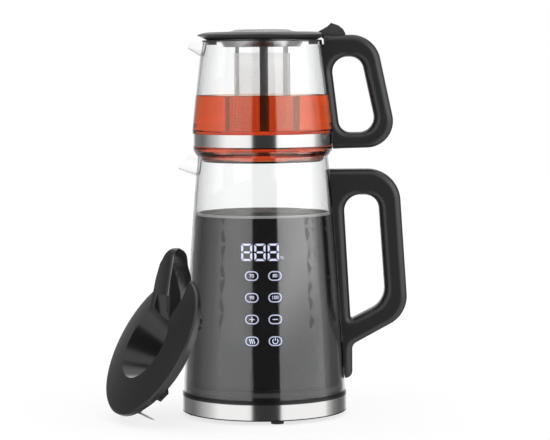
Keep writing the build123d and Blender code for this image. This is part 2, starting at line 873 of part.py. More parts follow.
def kettle_handle_face():
    """Side view of the kettle handle with its root inside the glass."""
    root = kettle_mouth_r / 2
    corners = [(root, kettle_handle_top_z), (kettle_handle_shoulder, kettle_handle_top_z),
               (kettle_handle_reach, kettle_handle_low_z), (kettle_handle_root_x, kettle_handle_root_z),
               (kettle_handle_root_x, kettle_handle_foot_z), (root, kettle_handle_foot_z)]
    small = handle_round + 2 * fit
    return flat_face(corners, (small, kettle_handle_top_round, kettle_handle_low_round, small, small, small))


def kettle_handle_blank():
    """Handle and cover together, before they are parted."""
    left_top, right_top = kettle_hole_top_x
    left_low, right_low = kettle_hole_low_x
    low_left_z, low_right_z = kettle_hole_low_z
    hole = flat_face([(left_top, kettle_hole_top_z), (right_top, kettle_hole_top_z),
                      (right_low, low_right_z), (left_low, low_left_z)], kettle_hole_rounds)
    body = soft_edges(thick(kettle_handle_face() - hole, handle_half), handle_round)
    return body - glass.core(glass_z, mouth_z, -handle_glue)


def kettle_strip():
    """Region of the cover on the kettle handle."""
    return outer_strip(kettle_handle_face(), handle_skin, kettle_cover_start_x, kettle_cover_end_z)


def along_edge(z, top, low):
    """X at a height on the straight line between two (x, z) points."""
    (x_top, z_top), (x_low, z_low) = top, low
    return x_top + (x_low - x_top) * (z_top - z) / (z_top - z_low)


def grip_screw_span(z):
    """Head seat and point of a grip screw at a height."""
    inner = along_edge(z, (kettle_hole_top_x[1], kettle_hole_top_z), (kettle_hole_low_x[1], kettle_hole_low_z[1]))
    outer = along_edge(z, (kettle_handle_shoulder, kettle_handle_top_z),
                       (kettle_handle_reach, kettle_handle_low_z))
    return inner + grip_screw_depth + screw_head_h, outer - handle_skin / 2


def grip_screws(head_r, shank_r, head_h):
    """Screws through the grip into its cover, or the holes for them."""
    parts = []
    for z in grip_screw_z:
        seat, point = grip_screw_span(z)
        body = screw(point - seat, head_r, head_h, shank_r)
        parts.append(Pos(seat, 0, z) * Rot(0, -90, 0) * body)
    return parts


def grip_screw_holes():
    """Counterbored holes of the grip screws."""
    low, high = grip_screws(screw_head_r + fit, screw_shank_r + fit / 2, screw_head_h + 2 * grip_screw_depth)
    return low + high


def make_kettle_handle():
    """Main moulding of the kettle handle."""
    return kettle_handle_blank() - kettle_strip() - grip_screw_holes()


def make_kettle_handle_cover():
    """Cover strip round the outside of the kettle handle."""
    return (kettle_handle_blank() & kettle_strip()) - grip_screw_holes()


def make_kettle_handle_screws():
    """Screws inside the grip."""
    return joined(grip_screws(screw_head_r, screw_shank_r, screw_head_h))


def make_kettle_handle_pads():
    """Bond pads between the glass and the handle."""
    pads = []
    for low, high in kettle_pad_z:
        skin = glass.shell(low, high, -handle_glue, handle_glue)
        pads.append(skin & block((0, 2 * kettle_foot_r), (-pad_half, pad_half), (low, high)))
    return joined(pads)


# ------------------------------------------------------------------ teapot body
belly_z = shoulder_z + teapot_belly_low
band_z = shoulder_z + band_low
band_top_z = band_z + band_h
band_seat_r = teapot_low_r - band_recess
pot_wall = ArcWall((teapot_belly_r, belly_z),
                   (teapot_middle_r, shoulder_z + teapot_middle_h),
                   (teapot_mouth_r, rim_z))


def teapot_base():
    """Lower part of the teapot: foot, shoulder and groove for the band."""
    foot_z, wall = shoulder_z - teapot_foot_h, teapot_wall
    floor_z = foot_z + teapot_floor
    inner_foot_r, inner_low_r = teapot_foot_r - wall, band_seat_r - wall
    corner_z = shoulder_z + teapot_corner_h
    return turned((0, foot_z), (teapot_foot_r - teapot_foot_chamfer, foot_z),
                  (teapot_foot_r, foot_z + teapot_foot_chamfer), (teapot_foot_r, shoulder_z),
                  (teapot_shoulder_r, shoulder_z), (teapot_low_r, corner_z),
                  (teapot_low_r, band_z), (band_seat_r, band_z), (band_seat_r, band_top_z),
                  (teapot_belly_r - fit, band_top_z), (teapot_belly_r, belly_z),
                  (pot_wall.radius(belly_z, wall), belly_z), (inner_low_r, band_top_z),
                  (inner_low_r, corner_z + fit), (inner_foot_r, shoulder_z + wall),
                  (inner_foot_r, floor_z), (0, floor_z))


def make_teapot_glass():
    """Glass teapot with a stepped foot and a small pouring lip."""
    tip = (-teapot_spout_reach, 0, rim_z - teapot_spout_drop)
    lip, channel = pouring_lip(tip, teapot_spout_half, teapot_spout_lip, teapot_wall)
    lip -= pot_wall.core(belly_z, rim_z + lug_h, teapot_wall)
    above = block((-2 * teapot_belly_r, 0), (-teapot_belly_r, teapot_belly_r), (belly_z, rim_z))
    body = teapot_base() + pot_wall.shell(belly_z, rim_z, 0, teapot_wall)
    return body + (lip & above) - channel


def band_lug():
    """Tab of the band that reaches into the handle."""
    return block((band_seat_r + band_t / 2, tab_end_x), (-tab_half, tab_half),
                 (band_z + tab_inset, band_top_z - tab_inset))


def band_screw():
    """Screw from under the handle up through the tab of the band."""
    seat = teapot_handle_root_z + band_screw_sink + band_screw_head_h
    body = screw(band_screw_length, band_screw_head_r, band_screw_head_h, band_screw_r)
    return Pos(tab_screw_x, 0, seat) * Rot(180, 0, 0) * body


def band_screw_hole():
    """Counterbored hole of the band screw."""
    seat = teapot_handle_root_z + band_screw_sink + band_screw_head_h
    body = screw(band_screw_length + fit, band_screw_head_r + fit, 2 * band_screw_head_h + band_screw_sink,
                 band_screw_r + fit / 2)
    return Pos(tab_screw_x, 0, seat) * Rot(180, 0, 0) * body


def make_teapot_band():
    """Steel band round the foot of the teapot, with a tab for its screw."""
    body = ring(band_seat_r + band_t, band_seat_r, band_z + fit, band_top_z - fit)
    return body + band_lug() - band_screw_hole()


def make_teapot_band_screw():
    """Screw that holds the band and the handle together."""
    return band_screw()


# ------------------------------------------------------------------ teapot handle and hinge
def teapot_handle_face():
    """Side view of the teapot handle with its root inside the glass."""
    root = teapot_mouth_r / 2
    small = handle_round + 2 * fit
    top_round, low_round = teapot_handle_rounds
    corners = [(root, teapot_handle_top_z), (teapot_handle_shoulder, teapot_handle_top_z),
               (teapot_handle_reach, teapot_handle_low_z), (root, teapot_handle_root_z)]
    return flat_face(corners, (small, top_round, low_round, small))


def teapot_handle_blank():
    """Handle and cover together, cut to the glass and the band."""
    left_top, right_top = teapot_hole_top_x
    left_low, right_low = teapot_hole_low_x
    hole = flat_face([(left_top, teapot_hole_top_z), (right_top, teapot_hole_top_z),
                      (right_low, teapot_hole_low_z), (left_low, teapot_hole_low_z)], teapot_hole_rounds)
    body = soft_edges(thick(teapot_handle_face() - hole, handle_half), handle_round)
    body -= pot_wall.core(belly_z, teapot_handle_top_z + fit, -teapot_glue)
    body -= disc(teapot_belly_r + teapot_glue, teapot_handle_root_z - handle_half, belly_z)
    body -= block((0, cheek_x), (-2 * handle_half, 2 * handle_half), (rim_z - lug_h, 2 * rim_z))
    return body


def hinge_cylinder(radius, half):
    """Cylinder about the hinge axis."""
    return Pos(hinge_x, 0, hinge_z) * Rot(90, 0, 0) * Cylinder(radius, 2 * half)


def lever_slot():
    """Room for the tongue and the lever between the cheeks of the handle."""
    half = tongue_half + run_gap
    near = barrel_r + run_gap
    sweep = hinge_cylinder(slot_r, half)
    sweep &= block((hinge_x - near, 2 * hinge_x), (-half, half), (hinge_z - slot_floor, 2 * hinge_z))
    return sweep + block((0, hinge_x), (-half, half), (hinge_z - near, 2 * hinge_z))


def tab_pocket():
    """Pocket in the handle for the tab of the band."""
    gap = run_gap
    return block((0, tab_end_x + gap), (-tab_half - gap, tab_half + gap),
                 (band_z + tab_inset - gap, band_top_z - tab_inset + gap))


def teapot_strip():
    """Region of the cover on the teapot handle."""
    return outer_strip(teapot_handle_face(), teapot_skin, teapot_cover_start_x, teapot_handle_root_z)


def make_teapot_handle():
    """Main moulding of the teapot handle, with cheeks for the lid hinge."""
    body = teapot_handle_blank() - teapot_strip() - lever_slot() - tab_pocket() - band_screw_hole()
    return body - hinge_cylinder(hinge_pin_r, 2 * handle_half)


def make_teapot_handle_cover():
    """Thin cover strip round the outside of the teapot handle."""
    return teapot_handle_blank() & teapot_strip()


def make_teapot_handle_pad():
    """Bond pad between the teapot glass and its handle."""
    low, high = teapot_pad_z
    bond = teapot_glue - fit / 2
    skin = pot_wall.shell(low, high, -bond, bond)
    return joined([skin & block((0, 2 * teapot_belly_r), (-pad_half, pad_half), (low, high))])


def make_hinge_pin():
    """Pin of the lid hinge, sunk into the cheeks."""
    return hinge_cylinder(hinge_pin_r, handle_half - hinge_pin_r)


# ------------------------------------------------------------------ infuser and teapot lid
def make_infuser_holder():
    """Flat ring on the rim of the teapot, with lugs below that centre it in the glass."""
    low = holder_z - lug_h
    body = ring(teapot_mouth_r - fit, holder_bore_r, holder_z, holder_z + holder_plate_t)
    reach = ring(pot_wall.radius(rim_z, teapot_wall) - run_gap, lug_r_in, low, holder_z)
    for angle in lug_angles:
        body += reach & (Rot(0, 0, angle) * block((0, teapot_mouth_r), (-lug_half, lug_half), (low, holder_z)))
    return body


bowl_floor_z = flange_z - bowl_depth
basket_top_z = bowl_floor_z - basket_band_h


def make_infuser_cup():
    """Steel bowl with a flange on top and the straps that hold the basket below."""
    t, z = sheet_t, bowl_floor_z
    body = turned((flange_r, flange_z), (flange_r, flange_z + flange_t), (bowl_r - t, flange_z + flange_t),
                  (bowl_floor_r - t, z + t), (basket_r - t, z + t), (basket_r - t, z), (bowl_floor_r, z),
                  (bowl_r, flange_z))
    tube = ring(basket_r + fit + t, basket_r + fit, basket_low_z, z)
    strap = tube & block((0, 2 * basket_r), (-strap_w / 2, strap_w / 2), (basket_low_z, z))
    for angle in spread(strap_count, strap_first_angle):
        body += Rot(0, 0, angle) * strap
    return body


def make_infuser_mesh():
    """Wall of the basket."""
    return ring(basket_r, basket_r - sheet_t, basket_low_z + basket_ring_h, basket_top_z)


def make_infuser_base():
    """Cup that closes the bottom of the basket."""
    low = basket_low_z
    return disc(basket_r, low, low + basket_ring_h) - disc(basket_r - sheet_t, low + sheet_t, low + basket_ring_h)


def lever_face():
    """Side view of the tongue and thumb lever, about the hinge axis."""
    tip_x, tip_z = lever_tip
    low, top = lid_ring_low + lid_ring_rise - hinge_up, lid_ring_top - hinge_up
    points = [(lid_ring_trim_x - hinge_x - barrel_r, low), (-barrel_r, 0), (0, -barrel_r), (barrel_r, -hinge_pin_r),
              (lever_bow[0][0], barrel_r), *lever_bow, (tip_x, tip_z),
              (tip_x - barrel_r, tip_z - barrel_r), (lid_ring_trim_x - hinge_x - barrel_r, top)]
    return [(hinge_x + x, hinge_z + z) for x, z in points]


def make_teapot_lid_ring():
    """Outer ring of the teapot lid with its hinge barrel and thumb lever."""
    low = rim_z + lid_ring_low
    edge, top = low + lid_ring_rise, rim_z + lid_ring_top
    bore, outer = lid_ring_bore_r, lid_ring_r
    body = turned((bore, low + holder_plate_t), (bore + 2 * holder_plate_t, low), (lid_ring_flat_r, low),
                  (outer, edge), (outer, edge + lid_ring_edge), (lid_ring_trim_x, top - cheek_round / 2),
                  (lid_ring_flat_r, top), (bore + cheek_round, top), (bore, top - cheek_round))
    body -= block((lid_ring_trim_x, 2 * outer), (-outer, outer), (low - bore, top + bore))
    body += slab(lever_face(), tongue_half)
    body += hinge_cylinder(barrel_r, tongue_half)
    body -= disc(bore, low - bore, top + bore)
    return body - hinge_cylinder(hinge_pin_r + fit, 2 * handle_half)


cap_glass_z = cap_z + cap_rim_h - cap_glass_t - 2 * fit
cap_ledge_r = cap_r - cap_rim_w


def make_tea_cap_rim():
    """Black rim of the lift-off cap."""
    top, seat = cap_z + cap_rim_h, cap_glass_z
    return turned((cap_ledge_r - cap_glass_t, cap_z), (cap_r, cap_z), (cap_r, top),
                  (cap_glass_r + fit, top), (cap_glass_r + fit, seat), (cap_ledge_r - cap_glass_t, seat))


def make_tea_cap_glass():
    """Low glass dome of the cap."""
    low, t = cap_glass_z, cap_glass_t
    high = cap_z + cap_rim_h + cap_rise
    shoulder_r = cap_ledge_r - cap_glass_t
    return turned((cap_glass_r, low), (cap_glass_r, low + t), (cap_flat_r + t, high - t / 2),
                  (cap_flat_r, high), (0, high), (0, high - t), (cap_flat_r, high - t), (shoulder_r, low))


# ------------------------------------------------------------------ kettle lid
def lid_plane():
    """Plane of the leaning lid: x up the slope towards the fin, z out of its top."""
    lean, turn = math.radians(lid_tilt), math.radians(lid_azimuth)
    normal = (math.sin(lean) * math.cos(turn), math.sin(lean) * math.sin(turn), math.cos(lean))
    slope = (-math.cos(lean) * math.cos(turn), -math.cos(lean) * math.sin(turn), math.sin(lean))
    return Plane(origin=lid_centre, x_dir=slope, z_dir=normal)


def crown_z(radius):
    """Height of the lid's bowed top at a radius."""
    rim = lid_r - lid_edge
    bow_r = (rim ** 2 + lid_crown ** 2) / (2 * lid_crown)
    return math.sqrt(bow_r ** 2 - radius ** 2) - bow_r + lid_crown


def lid_disc():
    """Flange with a bowed top, hollow underneath but for the screw bosses."""
    rim, half = lid_r - lid_edge, lid_r / 2
    bow = ThreePointArc((rim, 0, 0), (half, 0, crown_z(half)), (0, 0, lid_crown))
    sides = Polyline(bow @ 1, (0, 0, -lid_t), (lid_r, 0, -lid_t), (lid_r, 0, -lid_edge), bow @ 0)
    body = revolve(make_face(Curve() + [bow, *sides.edges()]), Axis.Z)
    inner, outer = lid_cavity_r
    cavity = turned((inner, -lid_t), (outer, -lid_t), (outer, crown_z(outer) - lid_skin),
                    (inner, crown_z(inner) - lid_skin))
    for x, y in lid_screw_points():
        cavity -= disc(lid_boss_r, -lid_t, lid_crown, x, y)
    return body - cavity


def funnel(extra, top):
    """Round funnel of the lid and the chute that falls into it from the fin, up to a height.

    The funnel narrows to its floor.  extra grows both all round.
    """
    depth = recess_depth + lid_crown
    cone = Pos(0, 0, depth / 2 - recess_depth) * Cone(recess_floor_r + extra, recess_r + extra, depth)
    fall = math.radians(chute_fall)
    x, z = chute_top
    axis_top = (x - chute_r * math.sin(fall), 0, z + chute_r * math.cos(fall))
    chute = Pos(0, 0, -chute_length / 2) * Cylinder(chute_r + extra, chute_length)
    chute = Pos(*axis_top) * Rot(0, 90 - chute_fall, 0) * chute
    span = (-2 * lid_r, 2 * lid_r)
    return (cone + chute) & block(span, span, (-recess_depth, top))


def fin_side():
    """Side view of the fin: a crest that bows up to the tip and an under side that returns to the flange."""
    heel = (lid_r - lid_edge, 0, -lid_edge)
    crest = Spline((fin_root_x, 0, crown_z(fin_root_x)), *[(x, 0, z) for x, z in fin_crest])
    under = Spline(crest @ 1, *[(x, 0, z) for x, z in fin_under], heel)
    root = Polyline(heel, (lid_r - lid_edge, 0, -lid_t), (fin_root_x, 0, -lid_t), crest @ 0)
    face = make_face(Curve() + [crest, under, *root.edges()])
    return extrude(face, amount=fin_foot_half, dir=(0, 1, 0), both=True)


def fin():
    """Thumb fin: its side view, plan and end view crossed, with a hollowed face."""
    far = [(x, y, 0) for x, y in fin_plan]
    near = [(x, -y, 0) for x, y, z in reversed(far)]
    rim = Spline(*far, (fin_crest[-1][0], 0, 0), *near)
    plan = extrude(make_face(Curve() + [rim, Line(rim @ 1, rim @ 0)]), amount=2 * fin_h, both=True)
    foot, top = fin_foot_half, fin_crest_half
    ends = Polyline((0, -foot, -lid_t), (0, foot, -lid_t), (0, top, fin_h), (0, -top, fin_h), close=True)
    body = fin_side() & plan & extrude(make_face(ends), amount=2 * lid_r, dir=(1, 0, 0))
    x, z = scoop_foot
    scoop = Pos(x, 0, z) * Rot(0, 90 - scoop_rise, 0) * Pos(-scoop_r, 0, 0) * Cylinder(scoop_r, 2 * lid_r)
    return body - scoop


def make_lid_cover():
    """Top of the lid: flange, funnel and thumb fin."""
    body = lid_disc() + funnel(recess_wall, 0) + fin()
    body -= funnel(0, 2 * lid_crown)
    for x, y in lid_screw_points():
        body -= disc(screw_shank_r + fit / 2, -lid_t, -lid_t + lid_screw_length - lid_plate_t, x, y)
    return lid_plane() * body


def lid_screw_points():
    """Centres of the lid screws."""
    return [polar(lid_screw_circle, angle) for angle in lid_screw_angles]


def make_lid_plug():
    """Underside of the lid: plate, step and plug wall with its lugs."""
    low = -lid_t - lid_step_t
    body = ring(lid_step_r, lid_plate_bore_r, -lid_t - lid_plate_t, -lid_t)
    body += ring(lid_step_r, lid_plug_r - lid_plug_wall, low, -lid_t)
    body += ring(lid_plug_r, lid_plug_r - lid_plug_wall, -lid_plug_depth, -lid_t)
    for angle in lid_lug_angles:
        lug = block((lid_plug_r - lid_plug_wall, lid_lug_r), (-lid_lug_half, lid_lug_half),
                    (low - lid_lug_h, low))
        window = block((lid_plug_r + lid_seal_out, 2 * lid_lug_r), (-lid_lug_window, lid_lug_window),
                       (low - lid_lug_h + lid_seal_out, low - lid_seal_out))
        body += Rot(0, 0, angle) * (lug - window)
    for x, y in lid_screw_points():
        body -= disc(screw_shank_r + fit, -lid_t - lid_plate_t, -lid_t, x, y)
    return lid_plane() * (body - lid_seal_ring(fit) - filter_slot())


def lid_seal_ring(extra):
    """Ring of the lid seal, grown by extra."""
    middle = -lid_plug_depth + lid_seal_h
    half = lid_seal_h / 2 + extra
    return ring(lid_plug_r + lid_seal_out + extra, lid_plug_r - lid_plug_wall / 2 - extra,
                middle - half, middle + half)


def filter_slot():
    """Notch in the lugs and plug for the frame of the filter."""
    w = filter_w / 2 + fit
    return block((-filter_x - filter_frame_t, -filter_x + filter_frame_t), (-w, w), (-filter_low, -lid_t - lid_step_t))


def make_lid_seal():
    """Silicone ring round the plug."""
    w = filter_w / 2 + fit
    gap = block((-2 * lid_r, -filter_x + filter_frame_t), (-w, w), (-filter_low, 0))
    return lid_plane() * (lid_seal_ring(0) - gap)


def filter_blade(thickness, width, low, high):
    """Half oval plate across the spout side, with its straight edge on top."""
    depth = high - low
    outline = Ellipse(depth, width / 2) & Pos(depth / 2, 0) * Rectangle(depth, width)
    plane = Plane(origin=(-filter_x - thickness / 2, 0, high), x_dir=(0, 0, -1), z_dir=(1, 0, 0))
    return plane * extrude(outline, amount=thickness)


def make_lid_filter_mesh():
    """Steel mesh tongue that hangs in front of the spout."""
    return lid_plane() * filter_blade(filter_t, filter_w, -filter_low, -lid_t - lid_step_t - filter_grip)


def make_lid_filter_frame():
    """Clip that holds the mesh tongue under the step of the lid."""
    w, top = filter_w / 2, -lid_t - lid_step_t
    body = block((-filter_x - filter_frame_t, -filter_x + filter_frame_t), (-w, w), (top - filter_frame_h, top))
    slit = block((-filter_x - filter_t / 2 - fit / 2, -filter_x + filter_t / 2 + fit / 2), (-2 * w, 2 * w),
                 (top - 2 * filter_frame_h, top - filter_grip))
    return lid_plane() * (body - slit)


def make_lid_strainer():
    """Fine steel strainer across the bottom of the funnel."""
    return lid_plane() * disc(recess_floor_r, -recess_depth - strainer_t, -recess_depth)


def make_lid_screws():
    """Screws that join the plug to the cover."""
    turn = Pos(0, 0, -lid_t - lid_plate_t) * Rot(180, 0, 0)
    return lid_plane() * joined([Pos(x, y, 0) * turn * screw(lid_screw_length) for x, y in lid_screw_points()])


# ------------------------------------------------------------------ write every node
makers = [make_base_bottom_cover, make_base_feet, make_base_anti_slip_ring, make_base_screws,
          make_base_steel_band, make_base_housing, make_base_socket, make_base_contacts, make_base_wires,
          make_cord_gland, make_kettle_coupler, make_coupler_contacts, make_kettle_glass,
          make_kettle_bottom_cover, make_kettle_bottom_seal, make_kettle_bottom_screws, make_black_sleeve,
          make_display_window, make_button_rings, make_inner_pot, make_pot_gasket, make_heating_plate,
          make_heater_tube, make_thermal_cutouts, make_temperature_probe, make_board_holder,
          make_touch_board, make_display_module, make_touch_springs, make_power_board,
          make_signal_ribbon, make_kettle_handle, make_kettle_handle_cover, make_kettle_handle_screws,
          make_kettle_handle_pads, make_teapot_glass, make_teapot_band, make_teapot_band_screw,
          make_teapot_handle, make_teapot_handle_cover, make_teapot_handle_pad, make_hinge_pin,
          make_infuser_holder, make_infuser_cup, make_infuser_mesh, make_infuser_base,
          make_teapot_lid_ring, make_tea_cap_rim, make_tea_cap_glass, make_lid_cover, make_lid_plug,
          make_lid_seal, make_lid_filter_frame, make_lid_filter_mesh, make_lid_strainer, make_lid_screws]


def main():
    """Write one file per node."""
    os.makedirs("parts", exist_ok=True)
    for maker in makers:
        node = maker.__name__.removeprefix("make_")
        export_step(maker(), f"parts/{node}.step")


main()
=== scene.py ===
import logging
import math
from collections.abc import Iterable, Sequence
from dataclasses import dataclass, field
from enum import Enum

import bmesh
import bpy
from mathutils import Matrix, Vector
from mathutils.bvhtree import BVHTree


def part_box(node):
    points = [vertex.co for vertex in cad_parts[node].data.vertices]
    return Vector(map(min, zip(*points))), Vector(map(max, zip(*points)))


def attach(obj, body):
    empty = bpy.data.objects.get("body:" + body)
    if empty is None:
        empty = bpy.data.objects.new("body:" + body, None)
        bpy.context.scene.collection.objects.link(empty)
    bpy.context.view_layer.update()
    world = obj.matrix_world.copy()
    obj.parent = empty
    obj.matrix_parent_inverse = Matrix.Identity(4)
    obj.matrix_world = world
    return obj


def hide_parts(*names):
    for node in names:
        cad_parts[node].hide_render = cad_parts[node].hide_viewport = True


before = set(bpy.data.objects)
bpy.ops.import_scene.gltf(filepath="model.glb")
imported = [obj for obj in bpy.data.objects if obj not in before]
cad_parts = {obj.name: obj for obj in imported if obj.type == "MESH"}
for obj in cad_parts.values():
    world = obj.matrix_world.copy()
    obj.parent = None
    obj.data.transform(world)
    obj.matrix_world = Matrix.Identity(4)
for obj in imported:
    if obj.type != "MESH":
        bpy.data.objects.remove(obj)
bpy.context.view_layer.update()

LOG = logging.getLogger("tea_maker")
MM = 0.001
# metres from the axis, outside every piece
FAR = 1.0
Colour = tuple[float, float, float]
Point = tuple[float, float, float]
Socket = bpy.types.NodeSocket


# ---------------------------------------------------------------- node trees
class Graph:
    """A node tree with short ways to add and wire nodes."""

    def __init__(self, tree: bpy.types.NodeTree) -> None:
        """Keep the tree that nodes are added to.

        Args:
            tree: The tree. Its ends are set where it is a group.
        """
        self.tree = tree
        self.source: bpy.types.Node | None = None
        self.sink: bpy.types.Node | None = None

    def add(self, kind: str, inputs: dict | None = None, **settings: object) -> bpy.types.Node:
        """Add one node.

        Args:
            kind: The node's type name.
            inputs: Values or sockets for its inputs, by name or place.
            settings: Properties of the node.

        Returns:
            The new node.
        """
        node = self.tree.nodes.new(kind)
        for name, value in settings.items():
            setattr(node, name, value)
        self.feed(node, inputs or {})
        return node

    def feed(self, node: bpy.types.Node, inputs: dict) -> None:
        """Give a node's inputs their values, or wire sockets to them.

        Args:
            node: The node.
            inputs: Values or sockets for its inputs, by name or place.
        """
        for key, value in inputs.items():
            if isinstance(value, Socket):
                self.tree.links.new(value, node.inputs[key])
            else:
                node.inputs[key].default_value = value

    def maths(self, operation: str, *values: float | Socket, clamp: bool = False) -> Socket:
        """Result of one Math node."""
        node = self.add("ShaderNodeMath", dict(enumerate(values)), operation=operation, use_clamp=clamp)
        return node.outputs[0]

    def between(self, value: Socket, low: float, high: float, to_low: float, to_high: float) -> Socket:
        """Value moved smoothly from one span to another."""
        inputs = {"Value": value, "From Min": low, "From Max": high, "To Min": to_low, "To Max": to_high}
        return self.add("ShaderNodeMapRange", inputs, interpolation_type="SMOOTHSTEP").outputs["Result"]

    def noise(self, vector: Socket, scale: float | Socket, detail: float, roughness: float = 0.5) -> Socket:
        """Noise between zero and one at a point."""
        inputs = {"Vector": vector, "Scale": scale, "Detail": detail, "Roughness": roughness}
        return self.add("ShaderNodeTexNoise", inputs).outputs["Fac"]

    def swing(self, noise: Socket, amount: Socket) -> Socket:
        """Noise moved to lie about zero, times an amount."""
        return self.maths("MULTIPLY", self.maths("SUBTRACT", noise, 0.5), amount)

    def shaded(self, colour: Socket, factor: Socket) -> Socket:
        """Colour times a factor."""
        return self.add("ShaderNodeVectorMath", {0: colour, "Scale": factor}, operation="SCALE").outputs[0]

    def place(self) -> Socket:
        """Object coordinates of the point that is shaded."""
        return self.add("ShaderNodeTexCoord").outputs["Object"]


def new_group(name: str, kind: str, ins: Sequence[tuple], outs: Sequence[tuple]) -> Graph:
    """Make a node group with named sockets.

    Args:
        name: The group's name.
        kind: The tree's type.
        ins: Name, socket type and default value of each input.
        outs: Name and socket type of each output.

    Returns:
        The group's graph, with its Group Input and Group Output in place.
    """
    tree = bpy.data.node_groups.new(name, kind)
    for label, socket_type, value in ins:
        socket = tree.interface.new_socket(label, in_out="INPUT", socket_type=socket_type)
        if value is not None:
            socket.default_value = value
    for label, socket_type in outs:
        tree.interface.new_socket(label, in_out="OUTPUT", socket_type=socket_type)
    graph = Graph(tree)
    graph.source = tree.nodes.new("NodeGroupInput")
    graph.sink = tree.nodes.new("NodeGroupOutput")
    return graph


FLOAT, COLOUR = "NodeSocketFloat", "NodeSocketColor"


def build_grain_group() -> bpy.types.NodeTree:
    """Fine moulded grain with broad, faint handling marks.

    Returns:
        The group, which puts out a height and a roughness.
    """
    ins = [("Grain Scale", FLOAT, 2600.0), ("Mark Scale", FLOAT, 38.0), ("Roughness", FLOAT, 0.4),
           ("Spread", FLOAT, 0.06)]
    graph = new_group("moulded_grain", "ShaderNodeTree", ins, [("Height", FLOAT), ("Roughness", FLOAT)])
    given, place = graph.source.outputs, graph.place()
    fine = graph.noise(place, given["Grain Scale"], 2.0)
    marks = graph.noise(place, given["Mark Scale"], 4.0, 0.6)
    rough = graph.maths("ADD", given["Roughness"], graph.swing(marks, given["Spread"]), clamp=True)
    graph.feed(graph.sink, {"Height": fine, "Roughness": rough})
    return graph.tree


BRUSH_DARKEST = 0.92
BRUSH_SWING = 0.16


def build_brush_group() -> bpy.types.NodeTree:
    """Fine brushing that runs round the upright axis of the object.

    Returns:
        The group, which puts out a colour, a height and a roughness.
    """
    ins = [("Lines", FLOAT, 5200.0), ("Length", FLOAT, 6.0), ("Roughness", FLOAT, 0.25),
           ("Spread", FLOAT, 0.12), ("Colour", COLOUR, (0.7, 0.7, 0.7, 1.0))]
    outs = [("Colour", COLOUR), ("Height", FLOAT), ("Roughness", FLOAT)]
    graph = new_group("round_brushing", "ShaderNodeTree", ins, outs)
    given, parts = graph.source.outputs, graph.add("ShaderNodeSeparateXYZ", {0: graph.place()}).outputs
    angle = graph.maths("ARCTAN2", parts["Y"], parts["X"])
    around = graph.maths("MULTIPLY", angle, given["Length"])
    across = graph.maths("MULTIPLY", parts["Z"], given["Lines"])
    spot = graph.add("ShaderNodeCombineXYZ", {"X": around, "Y": across}).outputs[0]
    streak = graph.noise(spot, 1.0, 4.0, 0.65)
    rough = graph.maths("ADD", given["Roughness"], graph.swing(streak, given["Spread"]), clamp=True)
    shade = graph.maths("ADD", graph.maths("MULTIPLY", streak, BRUSH_SWING), BRUSH_DARKEST)
    results = {"Colour": graph.shaded(given["Colour"], shade), "Height": streak, "Roughness": rough}
    graph.feed(graph.sink, results)
    return graph.tree


def build_mottle_group() -> bpy.types.NodeTree:
    """Slight change of shade over a surface.

    Returns:
        The group, which puts out a colour.
    """
    ins = [("Colour", COLOUR, (0.5, 0.5, 0.5, 1.0)), ("Scale", FLOAT, 60.0), ("Amount", FLOAT, 0.1)]
    graph = new_group("mottled_shade", "ShaderNodeTree", ins, [("Colour", COLOUR)])
    given = graph.source.outputs
    cloud = graph.noise(graph.place(), given["Scale"], 4.0)
    shade = graph.maths("ADD", graph.swing(cloud, given["Amount"]), 1.0)
    graph.feed(graph.sink, {"Colour": graph.shaded(given["Colour"], shade)})
    return graph.tree


class Groups:
    """The shader groups that several finishes share, each built once."""

    grain: bpy.types.NodeTree = build_grain_group()
    brush: bpy.types.NodeTree = build_brush_group()
    mottle: bpy.types.NodeTree = build_mottle_group()


# ---------------------------------------------------------------- finishes
def blank_material(name: str) -> tuple[bpy.types.Material, Graph, bpy.types.Node]:
    """Start a material.

    Args:
        name: The material's name.

    Returns:
        The material, its graph and its Principled BSDF.
    """
    material = bpy.data.materials.new(name)
    material.use_nodes = True
    graph = Graph(material.node_tree)
    shader = next(node for node in material.node_tree.nodes if node.type == "BSDF_PRINCIPLED")
    return material, graph, shader


def wire_bump(graph: Graph, shader: bpy.types.Node, height: Socket, strength: float, depth: float) -> None:
    """Feed a height through a Bump node into a shader's normal."""
    bump = graph.add("ShaderNodeBump", {"Height": height, "Strength": strength, "Distance": depth})
    graph.feed(shader, {"Normal": bump.outputs["Normal"]})


@dataclass(frozen=True)
class Moulded:
    """Moulded plastic or rubber with grain and a little change of shade."""

    name: str
    colour: Colour
    roughness: float = 0.4
    grain: float = 0.25
    grain_scale: float = 2600.0
    spread: float = 0.06
    coat: float = 0.0
    specular: float = 0.5
    mottle: float = 0.12
    depth: float = 0.02 * MM

    def material(self) -> bpy.types.Material:
        """Build the material.

        Returns:
            The material, with grain from the shared groups.
        """
        material, graph, shader = blank_material(self.name)
        inputs = {"Grain Scale": self.grain_scale, "Roughness": self.roughness, "Spread": self.spread}
        grain = graph.add("ShaderNodeGroup", inputs, node_tree=Groups.grain)
        inputs = {"Colour": (*self.colour, 1.0), "Amount": self.mottle}
        shade = graph.add("ShaderNodeGroup", inputs, node_tree=Groups.mottle)
        graph.feed(shader, {"Base Color": shade.outputs["Colour"], "Roughness": grain.outputs["Roughness"],
                            "Specular IOR Level": self.specular, "Coat Weight": self.coat})
        wire_bump(graph, shader, grain.outputs["Height"], self.grain, self.depth)
        return material


